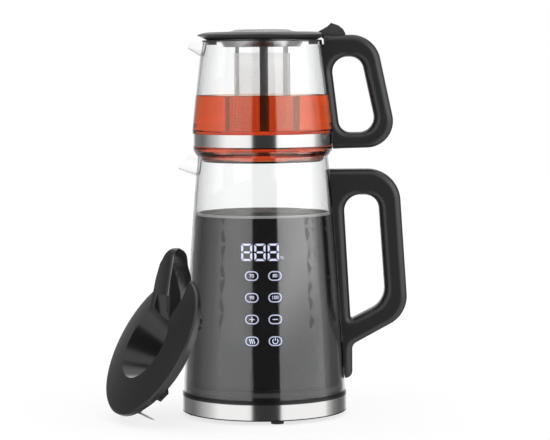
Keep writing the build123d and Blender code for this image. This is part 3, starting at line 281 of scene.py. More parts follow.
@dataclass(frozen=True)
class Metal:
    """Bare metal, brushed round the upright axis or plain with faint marks."""

    name: str
    colour: Colour
    roughness: float = 0.25
    spread: float = 0.12
    lines: float = 5200.0
    length: float = 6.0
    relief: float = 0.25
    depth: float = 0.01 * MM

    def material(self) -> bpy.types.Material:
        """Build the material.

        Returns:
            The material, brushed by the shared group.
        """
        material, graph, shader = blank_material(self.name)
        inputs = {"Lines": self.lines, "Length": self.length, "Roughness": self.roughness,
                  "Spread": self.spread, "Colour": (*self.colour, 1.0)}
        brush = graph.add("ShaderNodeGroup", inputs, node_tree=Groups.brush).outputs
        graph.feed(shader, {"Metallic": 1.0, "Base Color": brush["Colour"], "Roughness": brush["Roughness"]})
        wire_bump(graph, shader, brush["Height"], self.relief, self.depth)
        return material


@dataclass(frozen=True)
class Clear:
    """Clear glass or a clear liquid, which lets light through to what it holds."""

    name: str
    colour: Colour
    index: float = 1.47
    roughness: float = 0.0
    shadow: float = 0.12
    ripple: float = 0.004
    ripple_scale: float = 45.0
    depth: float = 1.0 * MM
    mottle: float = 0.02
    density: float = 0.0
    tint: Colour = (1.0, 1.0, 1.0)

    def material(self) -> bpy.types.Material:
        """Build the material.

        Returns:
            The material, which lets part of the light through in its shadow.
        """
        material, graph, shader = blank_material(self.name)
        inputs = {"Colour": (*self.colour, 1.0), "Amount": self.mottle}
        shade = graph.add("ShaderNodeGroup", inputs, node_tree=Groups.mottle)
        shadow_ray = graph.add("ShaderNodeLightPath").outputs["Is Shadow Ray"]
        hidden = graph.maths("MULTIPLY", shadow_ray, 1.0 - self.shadow)
        graph.feed(shader, {"Base Color": shade.outputs["Colour"], "Transmission Weight": 1.0,
                            "IOR": self.index, "Roughness": self.roughness,
                            "Alpha": graph.maths("SUBTRACT", 1.0, hidden)})
        waves = graph.noise(graph.place(), self.ripple_scale, 1.0)
        wire_bump(graph, shader, waves, self.ripple, self.depth)
        if self.density:
            inputs = {"Color": (*self.tint, 1.0), "Density": self.density}
            volume = graph.add("ShaderNodeVolumeAbsorption", inputs).outputs[0]
            output = next(node for node in graph.tree.nodes if node.type == "OUTPUT_MATERIAL")
            graph.feed(output, {"Volume": volume})
        return material


@dataclass(frozen=True)
class Lit:
    """A mark that glows, a little uneven from end to end."""

    name: str
    colour: Colour
    strength: float = 1.0
    unevenness_scale: float = 400.0
    unlit: Colour = (0.1, 0.1, 0.11)
    roughness: float = 0.3

    def material(self) -> bpy.types.Material:
        """Build the material.

        Returns:
            The glowing material.
        """
        material, graph, shader = blank_material(self.name)
        inputs = {"Colour": (*self.colour, 1.0), "Scale": self.unevenness_scale}
        shade = graph.add("ShaderNodeGroup", inputs, node_tree=Groups.mottle)
        graph.feed(shader, {"Base Color": (*self.unlit, 1.0), "Roughness": self.roughness,
                            "Emission Strength": self.strength, "Emission Color": shade.outputs["Colour"]})
        return material


class Finishes(Enum):
    """Every finish of the tea maker."""

    SATIN = Moulded("satin_black", (0.017, 0.017, 0.0175), 0.32, 0.15, specular=0.45)
    # The teapot lid ring's own grey-black, made lighter than the satin handles so that its dimly lit
    # underside reads brighter: partly painted light
    TEAPOT_LID = Moulded("grey_black_painted_light", (0.05, 0.05, 0.051), 0.3, 0.12, specular=0.45)
    BASE = Moulded("base_black", (0.008, 0.008, 0.0085), 0.2, 0.12, specular=0.4)
    LID = Moulded("lid_black", (0.012, 0.012, 0.0125), 0.2, 0.1, specular=0.45)
    SLEEVE = Moulded("gloss_black", (0.006, 0.006, 0.0065), 0.06, 0.02, specular=0.5, mottle=0.02)
    WINDOW = Moulded("smoked_window", (0.008, 0.008, 0.009), 0.06, 0.01, specular=0.5)
    GASKET = Moulded("grey_silicone", (0.36, 0.36, 0.35), 0.3, 0.05)
    RUBBER = Moulded("black_rubber", (0.02, 0.02, 0.02), 0.75, 0.5, 1500.0)
    SILICONE = Moulded("dark_silicone", (0.035, 0.035, 0.036), 0.6, 0.2)
    HOLDER = Moulded("pale_holder", (0.6, 0.59, 0.56), 0.5)
    BOARD = Moulded("green_board", (0.01, 0.12, 0.05), 0.35, coat=0.3)
    WIRE = Moulded("lead_cover", (0.55, 0.08, 0.06), 0.5)
    BAND = Metal("band_steel", (0.66, 0.655, 0.65), 0.13, 0.08)
    POT = Metal("pot_steel", (0.6, 0.6, 0.6), 0.3, 0.1, 3000.0)
    BOWL = Metal("bowl_steel", (0.66, 0.66, 0.67), 0.16, 0.08, 2500.0)
    MESH = Metal("mesh_steel", (0.9, 0.89, 0.87), 0.35, 0.05)
    SCREW = Metal("screw_steel", (0.55, 0.55, 0.56), 0.3, 0.1)
    COPPER = Metal("contact_copper", (0.85, 0.55, 0.33), 0.3, 0.1)
    ALUMINIUM = Metal("cast_aluminium", (0.68, 0.68, 0.7), 0.5, 0.2, 900.0)
    GLASS = Clear("clear_glass", (0.985, 0.99, 0.99))
    DOME = Clear("dome_glass", (0.8, 0.81, 0.82), roughness=0.25)
    TEA = Clear("black_tea", (0.98, 0.5, 0.16), 1.333, shadow=0.5, density=22.0, tint=(0.88, 0.2, 0.03))
    GLOW = Lit("panel_light", (0.74, 0.76, 1.0), 0.95)
    RING_GLOW = Lit("ring_light", (0.66, 0.69, 0.95), 0.8)


class Dresser:
    """Hands out each finish's material, built on first use."""

    def __init__(self) -> None:
        """Start with nothing built."""
        self.built: dict[Finishes, bpy.types.Material] = {}

    def material(self, finish: Finishes) -> bpy.types.Material:
        """Material of a finish.

        Args:
            finish: The finish.

        Returns:
            Its material, built now if it is the first call.
        """
        if finish not in self.built:
            self.built[finish] = finish.value.material()
        return self.built[finish]

    def dress(self, obj: bpy.types.Object, finish: Finishes) -> None:
        """Give an object one finish all over."""
        obj.data.materials.clear()
        obj.data.materials.append(self.material(finish))


DRESSER = Dresser()

NODE_FINISHES: dict[Finishes, tuple[str, ...]] = {
    Finishes.BASE: ("base_bottom_cover", "base_housing", "base_socket", "cord_gland",
                    "kettle_bottom_cover", "kettle_coupler", "display_module"),
    Finishes.SATIN: ("kettle_handle", "kettle_handle_cover", "teapot_handle", "teapot_handle_cover",
                     "tea_cap_rim", "infuser_holder"),
    Finishes.TEAPOT_LID: ("teapot_lid_ring",),
    Finishes.LID: ("lid_cover", "lid_plug", "lid_filter_frame"),
    Finishes.SLEEVE: ("black_sleeve",),
    Finishes.WINDOW: ("display_window",),
    Finishes.RUBBER: ("base_feet", "base_anti_slip_ring"),
    Finishes.SILICONE: ("kettle_bottom_seal", "lid_seal", "kettle_handle_pads", "teapot_handle_pad"),
    Finishes.GASKET: ("pot_gasket",),
    Finishes.HOLDER: ("board_holder",),
    Finishes.BOARD: ("touch_board", "power_board"),
    Finishes.WIRE: ("base_wires", "signal_ribbon"),
    Finishes.BAND: ("base_steel_band", "teapot_band"),
    Finishes.POT: ("inner_pot", "heater_tube", "thermal_cutouts", "temperature_probe"),
    Finishes.BOWL: ("infuser_cup", "infuser_base", "hinge_pin"),
    Finishes.MESH: ("infuser_mesh", "lid_filter_mesh", "lid_strainer"),
    Finishes.SCREW: ("base_screws", "kettle_bottom_screws", "kettle_handle_screws",
                     "teapot_band_screw", "lid_screws"),
    Finishes.COPPER: ("base_contacts", "coupler_contacts", "touch_springs"),
    Finishes.ALUMINIUM: ("heating_plate",),
    Finishes.GLASS: ("kettle_glass", "teapot_glass"),
    Finishes.DOME: ("tea_cap_glass",),
    Finishes.RING_GLOW: ("button_rings",),
}

UNMIRRORED = ("lid_cover", "lid_plug", "lid_seal", "lid_filter_frame", "lid_screws")


def keep_from_mirrors(obj: bpy.types.Object) -> None:
    """Keep an object out of reflections, also those seen through the kettle's glass."""
    obj.visible_glossy = False
    obj.visible_transmission = False


def dress_frame_nodes() -> None:
    """Give every node of the frame its finish, and keep the leaning lid out of the kettle's mirror."""
    for finish, names in NODE_FINISHES.items():
        for name in names:
            DRESSER.dress(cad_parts[name], finish)
    for name in UNMIRRORED:
        keep_from_mirrors(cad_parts[name])


# ---------------------------------------------------------------- mesh helpers
def finished(mesh: bpy.types.Mesh, name: str, finish: Finishes, crease: float = 32.0) -> bpy.types.Object:
    """Make an object of a mesh, smooth but for its creases.

    Args:
        mesh: The mesh, in the row's frame.
        name: The object's name.
        finish: Its finish.
        crease: Angle in degrees above which an edge stays sharp.

    Returns:
        The object, linked to the scene at the origin.
    """
    obj = bpy.data.objects.new(name, mesh)
    bpy.context.scene.collection.objects.link(obj)
    mesh.shade_smooth()
    mesh.set_sharp_from_angle(angle=math.radians(crease))
    DRESSER.dress(obj, finish)
    return obj


def mesh_from(name: str, points: Iterable[Sequence[float]],
              faces: Iterable[Sequence[int]]) -> bpy.types.Mesh:
    """Make a mesh.

    Args:
        name: The mesh's name.
        points: Its points, in the row's frame.
        faces: The points of each face, by number.

    Returns:
        The mesh.
    """
    mesh = bpy.data.meshes.new(name)
    mesh.from_pydata([tuple(point) for point in points], [], list(faces))
    mesh.validate()
    return mesh


def ring_skin(rings: int, around: int) -> list[tuple[int, ...]]:
    """Join rings of points in order, and fill the first and the last.

    Args:
        rings: Number of rings.
        around: Number of points in each.

    Returns:
        The points of each face, by number.
    """
    faces = []
    for row in range(rings - 1):
        for step in range(around):
            after = (step + 1) % around
            faces.append((row * around + step, row * around + after,
                          (row + 1) * around + after, (row + 1) * around + step))
    faces.append(tuple(reversed(range(around))))
    faces.append(tuple(range((rings - 1) * around, rings * around)))
    return faces


def turned(name: str, profile: Sequence[tuple[float, float]], around: int = 128) -> bpy.types.Mesh:
    """Solid turned about the upright axis, closed flat at both ends.

    Args:
        name: The mesh's name.
        profile: Radius and height of each ring, bottom first.
        around: Number of points round each ring.

    Returns:
        The mesh, with faces outwards.
    """
    points = []
    for radius, height in profile:
        for step in range(around):
            angle = math.tau * step / around
            points.append((radius * math.cos(angle), radius * math.sin(angle), height))
    return mesh_from(name, points, ring_skin(len(profile), around))


def heading(angle: float) -> Vector:
    """Level direction at an angle in degrees from +X."""
    turn = math.radians(angle)
    return Vector((math.cos(turn), math.sin(turn), 0))


# degrees from +X, clear of spout and handle
BACK = 93.0


class Probe:
    """Finds surfaces of frame nodes by casting rays at their meshes."""

    def __init__(self, *nodes: str) -> None:
        """Read the nodes' meshes once.

        Args:
            nodes: Names of the frame's nodes.
        """
        points, faces = [], []
        for node in nodes:
            mesh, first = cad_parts[node].data, len(points)
            points += [vertex.co.copy() for vertex in mesh.vertices]
            faces += [tuple(first + corner for corner in face.vertices) for face in mesh.polygons]
        self.tree = BVHTree.FromPolygons(points, faces)

    def inner_radius(self, height: float) -> float:
        """Distance from the axis to the first wall, at the back."""
        return self.tree.ray_cast(Vector((0, 0, height)), heading(BACK))[3]

    def outer_radius(self, height: float, angle: float) -> float:
        """Radius of the outermost wall, at an angle in degrees from +X."""
        way = heading(angle)
        return FAR - self.tree.ray_cast(FAR * way + Vector((0, 0, height)), -way)[3]


# ---------------------------------------------------------------- repeated wires
WIRE_SIDES = 4
WIRE_CREASE = 60.0
HOOP_POINTS = 96
# wire radii from the middle of one layer of wires to that of the layer it crosses
UPRIGHT_OUTSIDE = 0.8
CROSSING = 1.6


def build_circle(graph: Graph, radius: Socket, points: int) -> Socket:
    """Circle of so many points about the upright axis."""
    inputs = {"Resolution": points, "Radius": radius}
    return graph.add("GeometryNodeCurvePrimitiveCircle", inputs).outputs["Curve"]


def build_wire(graph: Graph, path: Socket, radius: Socket) -> Socket:
    """Sweep a round wire along a curve.

    Args:
        graph: The geometry tree.
        path: The curve.
        radius: Radius of the wire.

    Returns:
        The wire's mesh.
    """
    inputs = {"Curve": path, "Profile Curve": build_circle(graph, radius, WIRE_SIDES), "Fill Caps": True}
    return graph.add("GeometryNodeCurveToMesh", inputs).outputs["Mesh"]


def close_tree(graph: Graph, parts: Sequence[Socket]) -> bpy.types.NodeTree:
    """Join the parts, realize them, set their material and end the tree.

    Args:
        graph: The geometry tree.
        parts: The geometry of each part.

    Returns:
        The finished tree.
    """
    join = graph.add("GeometryNodeJoinGeometry")
    for part in parts:
        graph.feed(join, {0: part})
    real = graph.add("GeometryNodeRealizeInstances", {0: join.outputs[0]}).outputs[0]
    inputs = {"Geometry": real, "Material": graph.source.outputs["Material"]}
    dressed = graph.add("GeometryNodeSetMaterial", inputs).outputs[0]
    graph.feed(graph.sink, {"Geometry": dressed})
    return graph.tree


def wire_tree(name: str, extra: Sequence[tuple]) -> Graph:
    """Start a geometry tree that takes a pitch, a wire and a material.

    Args:
        name: The tree's name.
        extra: Name, socket type and default value of each further input.

    Returns:
        The tree's graph.
    """
    ins = [("Geometry", "NodeSocketGeometry", None), ("Pitch", FLOAT, 1.0 * MM), ("Wire", FLOAT, 0.15 * MM),
           ("Material", "NodeSocketMaterial", None), *extra]
    return new_group(name, "GeometryNodeTree", ins, [("Geometry", "NodeSocketGeometry")])


def build_woven_tube() -> bpy.types.NodeTree:
    """Upright round tube of woven wire, from zero height upwards.

    Returns:
        The geometry tree.
    """
    graph = wire_tree("woven_tube", [("Radius", FLOAT, 26.0 * MM), ("Height", FLOAT, 70.0 * MM)])
    keys = ("Pitch", "Wire", "Radius", "Height")
    pitch, wire, radius, height = (graph.source.outputs[key] for key in keys)
    rows = graph.maths("FLOOR", graph.maths("DIVIDE", height, pitch))
    step = graph.add("ShaderNodeCombineXYZ", {"Z": graph.maths("DIVIDE", height, rows)}).outputs[0]
    inputs = {"Count": graph.maths("ADD", rows, 1.0), "Offset": step}
    column = graph.add("GeometryNodeMeshLine", inputs, mode="OFFSET").outputs[0]
    hoop = build_wire(graph, build_circle(graph, radius, HOOP_POINTS), wire)
    hoops = graph.add("GeometryNodeInstanceOnPoints", {"Points": column, "Instance": hoop}).outputs[0]
    outside = graph.maths("ADD", radius, graph.maths("MULTIPLY", wire, UPRIGHT_OUTSIDE))
    girth = graph.maths("MULTIPLY", radius, math.tau)
    count = graph.maths("FLOOR", graph.maths("DIVIDE", girth, pitch))
    inputs = {"Curve": build_circle(graph, outside, HOOP_POINTS), "Count": count}
    spots = graph.add("GeometryNodeCurveToPoints", inputs, mode="COUNT").outputs["Points"]
    top = graph.add("ShaderNodeCombineXYZ", {"Z": height}).outputs[0]
    line = graph.add("GeometryNodeCurvePrimitiveLine", {"End": top}).outputs["Curve"]
    upright = build_wire(graph, line, wire)
    uprights = graph.add("GeometryNodeInstanceOnPoints", {"Points": spots, "Instance": upright}).outputs[0]
    return close_tree(graph, (hoops, uprights))


def build_chord(graph: Graph, place: Socket, along: Socket, across: Socket) -> Socket:
    """Width of an oval at a place on one of its axes.

    Args:
        graph: The geometry tree.
        place: Distance from the middle along the axis.
        along: Half length of the oval on that axis.
        across: What the width is in the middle.

    Returns:
        The width, which is zero past the oval's ends.
    """
    share = graph.maths("DIVIDE", place, along)
    rest = graph.maths("SUBTRACT", 1.0, graph.maths("MULTIPLY", share, share))
    return graph.maths("MULTIPLY", graph.maths("SQRT", graph.maths("MAXIMUM", rest, 0.0)), across)


def build_row(graph: Graph, low: Socket, high: Socket, pitch: Socket, axis: str) -> Socket:
    """Row of points at even steps along an axis.

    Args:
        graph: The geometry tree.
        low: Where the row starts.
        high: Where it ends.
        pitch: The step, at most.
        axis: The axis, as X or Y.

    Returns:
        The points.
    """
    count = graph.maths("ADD", graph.maths("DIVIDE", graph.maths("SUBTRACT", high, low), pitch), 1.0)
    ends = [graph.add("ShaderNodeCombineXYZ", {axis: end}).outputs[0] for end in (low, high)]
    inputs = {"Count": count, "Start Location": ends[0], "Offset": ends[1]}
    return graph.add("GeometryNodeMeshLine", inputs, mode="END_POINTS").outputs[0]


def build_rods(graph: Graph, points: Socket, rod: Socket, length: Socket, turn: float) -> Socket:
    """Rod on each point, stretched to its length.

    Args:
        graph: The geometry tree.
        points: Middles of the rods.
        rod: Rod of unit length along Y.
        length: Length at each point.
        turn: Angle in radians that each rod is turned by about Z.

    Returns:
        The rods.
    """
    size = graph.add("ShaderNodeCombineXYZ", {"X": 1.0, "Y": length, "Z": 1.0}).outputs[0]
    inputs = {"Points": points, "Instance": rod, "Scale": size, "Rotation": (0, 0, turn)}
    return graph.add("GeometryNodeInstanceOnPoints", inputs).outputs[0]


def build_woven_sheet() -> bpy.types.NodeTree:
    """Flat oval of woven wire in the XY plane, whole or only its +X half.

    Returns:
        The geometry tree.
    """
    extra = [("Reach", FLOAT, 20.0 * MM), ("Half Width", FLOAT, 20.0 * MM), ("Cut", FLOAT, 0.0)]
    graph = wire_tree("woven_sheet", extra)
    keys = ("Pitch", "Wire", "Reach", "Half Width", "Cut")
    pitch, wire, reach, width, cut = (graph.source.outputs[key] for key in keys)
    line = graph.add("GeometryNodeCurvePrimitiveLine", {"Start": (0, -0.5, 0), "End": (0, 0.5, 0)})
    rod = build_wire(graph, line.outputs["Curve"], wire)
    spot = graph.add("ShaderNodeSeparateXYZ", {0: graph.add("GeometryNodeInputPosition").outputs[0]}).outputs
    uncut = graph.maths("SUBTRACT", 1.0, cut)
    low_x = graph.maths("MULTIPLY", graph.maths("MULTIPLY", reach, uncut), -1.0)
    across = build_chord(graph, spot["X"], reach, graph.maths("MULTIPLY", width, 2.0))
    first = build_rods(graph, build_row(graph, low_x, reach, pitch, "X"), rod, across, 0.0)
    tip = build_chord(graph, spot["Y"], width, reach)
    length = graph.maths("MULTIPLY", tip, graph.maths("ADD", uncut, 1.0))
    middle = graph.maths("MULTIPLY", graph.maths("MULTIPLY", tip, cut), 0.5)
    lift = graph.maths("MULTIPLY", wire, CROSSING)
    shift = graph.add("ShaderNodeCombineXYZ", {"X": middle, "Z": lift}).outputs[0]
    edge = build_row(graph, graph.maths("MULTIPLY", width, -1.0), width, pitch, "Y")
    moved = graph.add("GeometryNodeSetPosition", {"Geometry": edge, "Offset": shift}).outputs[0]
    second = build_rods(graph, moved, rod, length, math.pi / 2)
    return close_tree(graph, (first, second))


def grown(tree: bpy.types.NodeTree, name: str, **values: object) -> bpy.types.Mesh:
    """Evaluate a geometry tree once and keep its mesh.

    Args:
        tree: The geometry tree.
        name: The mesh's name.
        values: Values of the tree's inputs, with _ for a space.

    Returns:
        The plain mesh.
    """
    seed = bpy.data.objects.new(name, bpy.data.meshes.new(name))
    bpy.context.scene.collection.objects.link(seed)
    modifier = seed.modifiers.new(name, "NODES")
    modifier.node_group = tree
    sockets = {item.name: item.identifier for item in tree.interface.items_tree if item.in_out == "INPUT"}
    for label, value in values.items():
        modifier[sockets[label.replace("_", " ")]] = value
    graph = bpy.context.evaluated_depsgraph_get()
    mesh = bpy.data.meshes.new_from_object(seed.evaluated_get(graph), depsgraph=graph)
    seed.modifiers.remove(modifier)
    bpy.data.objects.remove(seed)
    return mesh


WOVEN_TUBE = build_woven_tube()
WOVEN_SHEET = build_woven_sheet()


@dataclass
class InfuserMesh:
    """Woven wall of the infuser's basket."""

    pitch: float = 1.4 * MM
    wire: float = 0.085 * MM

    def build(self) -> list[bpy.types.Object]:
        """Weave the wall in the place of the plain one.

        Returns:
            The woven wall.
        """
        low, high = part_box("infuser_mesh")
        mesh = grown(WOVEN_TUBE, "infuser_weave", Pitch=self.pitch, Wire=self.wire,
                     Radius=high[0] - 3 * self.wire, Height=high[2] - low[2] - 2 * self.wire,
                     Material=DRESSER.material(Finishes.MESH))
        mesh.transform(Matrix.Translation((0, 0, low[2] + self.wire)))
        weave = finished(mesh, "infuser_weave", Finishes.MESH, WIRE_CREASE)
        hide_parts("infuser_mesh")
        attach(weave, "infuser")
        return [weave]


# ---------------------------------------------------------------- kettle lid
@dataclass(frozen=True)
class LidPlace:
    """Where the leaning lid is: x up the slope towards the fin, z out of its top."""

    tilt: float = 60.6
    azimuth: float = 207.4
    centre: Point = (-105.9 * MM, -45.5 * MM, 71.4 * MM)

    def axes(self) -> tuple[Vector, Vector, Vector]:
        """Directions of the lid's own axes.

        Returns:
            Its x, y and z.
        """
        lean, turn = math.radians(self.tilt), math.radians(self.azimuth)
        away_x, away_y = math.cos(turn), math.sin(turn)
        normal = Vector((math.sin(lean) * away_x, math.sin(lean) * away_y, math.cos(lean)))
        slope = Vector((-math.cos(lean) * away_x, -math.cos(lean) * away_y, math.sin(lean)))
        return slope, normal.cross(slope), normal

    def matrix(self) -> Matrix:
        """Turn and shift from the lid's own frame to the row's frame."""
        turn = Matrix(self.axes()).transposed().to_4x4()
        return Matrix.Translation(self.centre) @ turn


@dataclass
class LidSieves:
    """Woven tongue in front of the spout and woven strainer under the funnel."""

    place: LidPlace = LidPlace()
    tongue_x: float = -60.6 * MM
    tongue_top: float = -9.6 * MM
    tongue_low: float = -37.0 * MM
    tongue_half: float = 17.6 * MM
    strainer_r: float = 20.9 * MM
    strainer_z: float = -26.3 * MM
    pitch: float = 0.9 * MM
    wire: float = 0.13 * MM

    def sheet(self, name: str, node: str, spot: Matrix, **oval: float) -> bpy.types.Object:
        """Weave one sheet.

        Args:
            name: The object's name.
            node: The frame's node that it stands for.
            spot: Its place in the lid's own frame.
            oval: Reach along its own x, half width, and a cut of one to keep only the +x half.

        Returns:
            The woven object.
        """
        mesh = grown(WOVEN_SHEET, name, Pitch=self.pitch, Wire=self.wire,
                     Material=DRESSER.material(Finishes.MESH), **oval)
        mesh.transform(self.place.matrix() @ spot)
        weave = finished(mesh, name, Finishes.MESH, WIRE_CREASE)
        keep_from_mirrors(weave)
        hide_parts(node)
        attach(weave, "kettle_lid")
        return weave

    def build(self) -> list[bpy.types.Object]:
        """Weave both sheets.

        Returns:
            The tongue and the strainer.
        """
        down = Matrix(((0, 0, 1), (0, 1, 0), (-1, 0, 0))).to_4x4()
        spot = Matrix.Translation((self.tongue_x, 0, self.tongue_top)) @ down
        tongue = self.sheet("tongue_weave", "lid_filter_mesh", spot, Cut=1.0,
                            Reach=self.tongue_top - self.tongue_low, Half_Width=self.tongue_half)
        spot = Matrix.Translation((0, 0, self.strainer_z))
        strainer = self.sheet("strainer_weave", "lid_strainer", spot, Cut=0.0,
                              Reach=self.strainer_r, Half_Width=self.strainer_r)
        return [tongue, strainer]


# ---------------------------------------------------------------- panel marks
class Glyph(Enum):
    """Marks inside the touch buttons, left column first in each row."""

    LOW = "70"
    MIDDLE = "80"
    HIGH = "90"
    TOP = "100"
    PLUS = "+"
    MINUS = "-"
    WARM = "~"
    POWER = "o"


Outline = list[tuple[float, float]]
# degrees from +X to the middle of the panel
FRONT = -90.0


@dataclass
class PanelMarks:
    """Lit digits and button marks, bent to the black sleeve behind the glass."""

    digit_count: int = 3
    first_digit_x: float = -15.1 * MM
    digit_pitch: float = 12.2 * MM
    digit_z: float = 158.7 * MM
    digit_half_w: float = 5.1 * MM
    digit_half_h: float = 7.9 * MM
    bar: float = 1.9 * MM
    gap: float = 0.75 * MM
    unit_x: float = 17.3 * MM
    unit_z: float = 153.2 * MM
    unit_size: float = 3.6 * MM
    column_x: float = 10.6 * MM
    top_row_z: float = 137.0 * MM
    row_pitch: float = 19.93 * MM
    text_size: float = 4.4 * MM
    text_weight: float = 0.012
    icon_r: float = 2.4 * MM
    stroke: float = 0.85 * MM
    power_start: float = 130.0
    power_sweep: float = 280.0
    power_steps: int = 24
    power_bar: tuple[float, float] = (1.25, 0.2)
    wave_apart: float = 0.75
    wave_swing: float = 0.25
    wave_reach: float = 0.9
    half_wave_steps: int = 5
    proud: float = 0.02 * MM
    depth: float = 0.2 * MM
    slice_step: float = 1.0 * MM
    outlines: list[Outline] = field(default_factory=list)

    def segments(self, x: float, z: float) -> None:
        """Add the seven bars of one digit.

        Args:
            x: Its middle across the panel.
            z: Its middle's height.
        """
        w, h, t, g = self.digit_half_w, self.digit_half_h, self.bar, self.gap
        top = [(-w + g, h), (w - g, h), (w - t - g, h - t), (-w + t + g, h - t)]
        half = t / 2
        side = [(w, h - g), (w, g), (w - half, g), (w - t, half + g), (w - t, h - t - g)]
        middle = [(-w + t, 0), (-w + t + half, half), (w - t - half, half), (w - t, 0),
                  (w - t - half, -half), (-w + t + half, -half)]
        shapes = [top, [(a, -b) for a, b in top], middle]
        shapes += [[(sx * a, sz * b) for a, b in side] for sx in (-1, 1) for sz in (-1, 1)]
        self.outlines += [[(x + a, z + b) for a, b in shape] for shape in shapes]

    def stroke_path(self, path: Outline, x: float, z: float) -> None:
        """Add an open line of even width.

        Args:
            path: Its points, from the mark's middle.
            x: The middle across the panel.
            z: The middle's height.
        """
        left, right = [], []
        for index, (a, b) in enumerate(path):
            before, after = path[max(index - 1, 0)], path[min(index + 1, len(path) - 1)]
            way = Vector((after[0] - before[0], after[1] - before[1])).normalized() * self.stroke / 2
            left.append((x + a - way.y, z + b + way.x))
            right.append((x + a + way.y, z + b - way.x))
        self.outlines += [[left[i], left[i + 1], right[i + 1], right[i]] for i in range(len(path) - 1)]

    def power_paths(self) -> list[Outline]:
        """Open ring and upright bar of the power sign.

        Returns:
            The points of each line.
        """
        r, bar = self.icon_r, self.power_bar
        shares = [step / self.power_steps for step in range(self.power_steps + 1)]
        turns = [math.radians(self.power_start + self.power_sweep * share) for share in shares]
        ring = [(r * math.cos(turn), r * math.sin(turn)) for turn in turns]
        return [ring, [(0, r * bar[0]), (0, r * bar[1])]]

    def wave_paths(self) -> list[Outline]:
        """Three rising waves of the sign for warmth.

        Returns:
            The points of each line.
        """
        r, steps = self.icon_r, self.half_wave_steps
        halves = [step / steps for step in range(2 * steps + 1)]
        wave = [(self.wave_swing * r * math.sin(math.pi * half), r * (half - 1) * self.wave_reach)
                for half in halves]
        return [[(shift * r * self.wave_apart + a, b) for a, b in wave] for shift in (-1, 0, 1)]

    def icon(self, glyph: Glyph, x: float, z: float) -> None:
        """Add one drawn mark.

        Args:
            glyph: The mark.
            x: Its middle across the panel.
            z: Its middle's height.
        """
        r, half = self.icon_r, self.stroke / 2
        level, rising = [(-r, 0), (r, 0)], [[(0, r), (0, half)], [(0, -half), (0, -r)]]
        paths = {Glyph.PLUS: [level, *rising], Glyph.MINUS: [level],
                 Glyph.POWER: self.power_paths(), Glyph.WARM: self.wave_paths()}
        for path in paths[glyph]:
            self.stroke_path(path, x, z)

    def words(self, text: str, size: float, x: float, z: float) -> bpy.types.Mesh:
        """Mesh of a short text, drawn in XY.

        Args:
            text: What it says.
            size: Height of its letters, with their leading.
            x: Its middle across the panel.
            z: Its middle's height.

        Returns:
            The mesh.
        """
        curve = bpy.data.curves.new("words", "FONT")
        curve.body, curve.size, curve.extrude = text, size, self.depth / 2
        curve.align_x, curve.align_y = "CENTER", "CENTER"
        curve.offset = size * self.text_weight
        obj = bpy.data.objects.new("words", curve)
        bpy.context.scene.collection.objects.link(obj)
        graph = bpy.context.evaluated_depsgraph_get()
        mesh = bpy.data.meshes.new_from_object(obj.evaluated_get(graph), depsgraph=graph)
        bpy.data.objects.remove(obj)
        mesh.transform(Matrix.Translation((x, z, 0)))
        return mesh

    def flat_mesh(self) -> bmesh.types.BMesh:
        """All drawn marks as flat slabs, in XY with their fronts up.

        Returns:
            The slabs' mesh.
        """
        work = bmesh.new()
        for outline in self.outlines:
            front = [work.verts.new((a, b, self.depth / 2)) for a, b in outline]
            back = [work.verts.new((a, b, -self.depth / 2)) for a, b in outline]
            work.faces.new(front)
            work.faces.new(list(reversed(back)))
            for i, corner in enumerate(front):
                after = (i + 1) % len(front)
                work.faces.new((corner, back[i], back[after], front[after]))
        bmesh.ops.recalc_face_normals(work, faces=work.faces)
        return work

    def bend(self, work: bmesh.types.BMesh) -> None:
        """Slice the flat marks finely and lay them on the sleeve.

        Args:
            work: The flat marks, changed in place.
        """
        reach = max(abs(vertex.co.x) for vertex in work.verts)
        steps = math.ceil(reach / self.slice_step)
        for step in range(-steps, steps + 1):
            geometry = work.verts[:] + work.edges[:] + work.faces[:]
            place = (step * self.slice_step, 0, 0)
            bmesh.ops.bisect_plane(work, geom=geometry, plane_co=place, plane_no=(1, 0, 0))
        probe = Probe("black_sleeve", "display_window", "button_rings")
        for vertex in work.verts:
            across, height, out = vertex.co
            turn = across / probe.outer_radius(height, FRONT)
            wall = probe.outer_radius(height, FRONT + math.degrees(turn))
            wall += self.proud - self.depth / 2 + out
            vertex.co = (wall * math.sin(turn), -wall * math.cos(turn), height)

    def build(self) -> list[bpy.types.Object]:
        """Draw, bend and light every mark.

        Returns:
            The marks, as one object.
        """
        for place in range(self.digit_count):
            self.segments(self.first_digit_x + place * self.digit_pitch, self.digit_z)
        texts = [self.words("°C", self.unit_size, self.unit_x, self.unit_z)]
        for index, glyph in enumerate(Glyph):
            row, right = divmod(index, 2)
            x, z = self.column_x if right else -self.column_x, self.top_row_z - row * self.row_pitch
            if glyph.value.isdigit():
                texts.append(self.words(glyph.value, self.text_size, x, z))
            else:
                self.icon(glyph, x, z)
        work = self.flat_mesh()
        for text in texts:
            work.from_mesh(text)
        self.bend(work)
        mesh = bpy.data.meshes.new("panel_marks")
        work.to_mesh(mesh)
        work.free()
        marks = finished(mesh, "panel_marks", Finishes.GLOW)
        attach(marks, "kettle")
        return [marks]


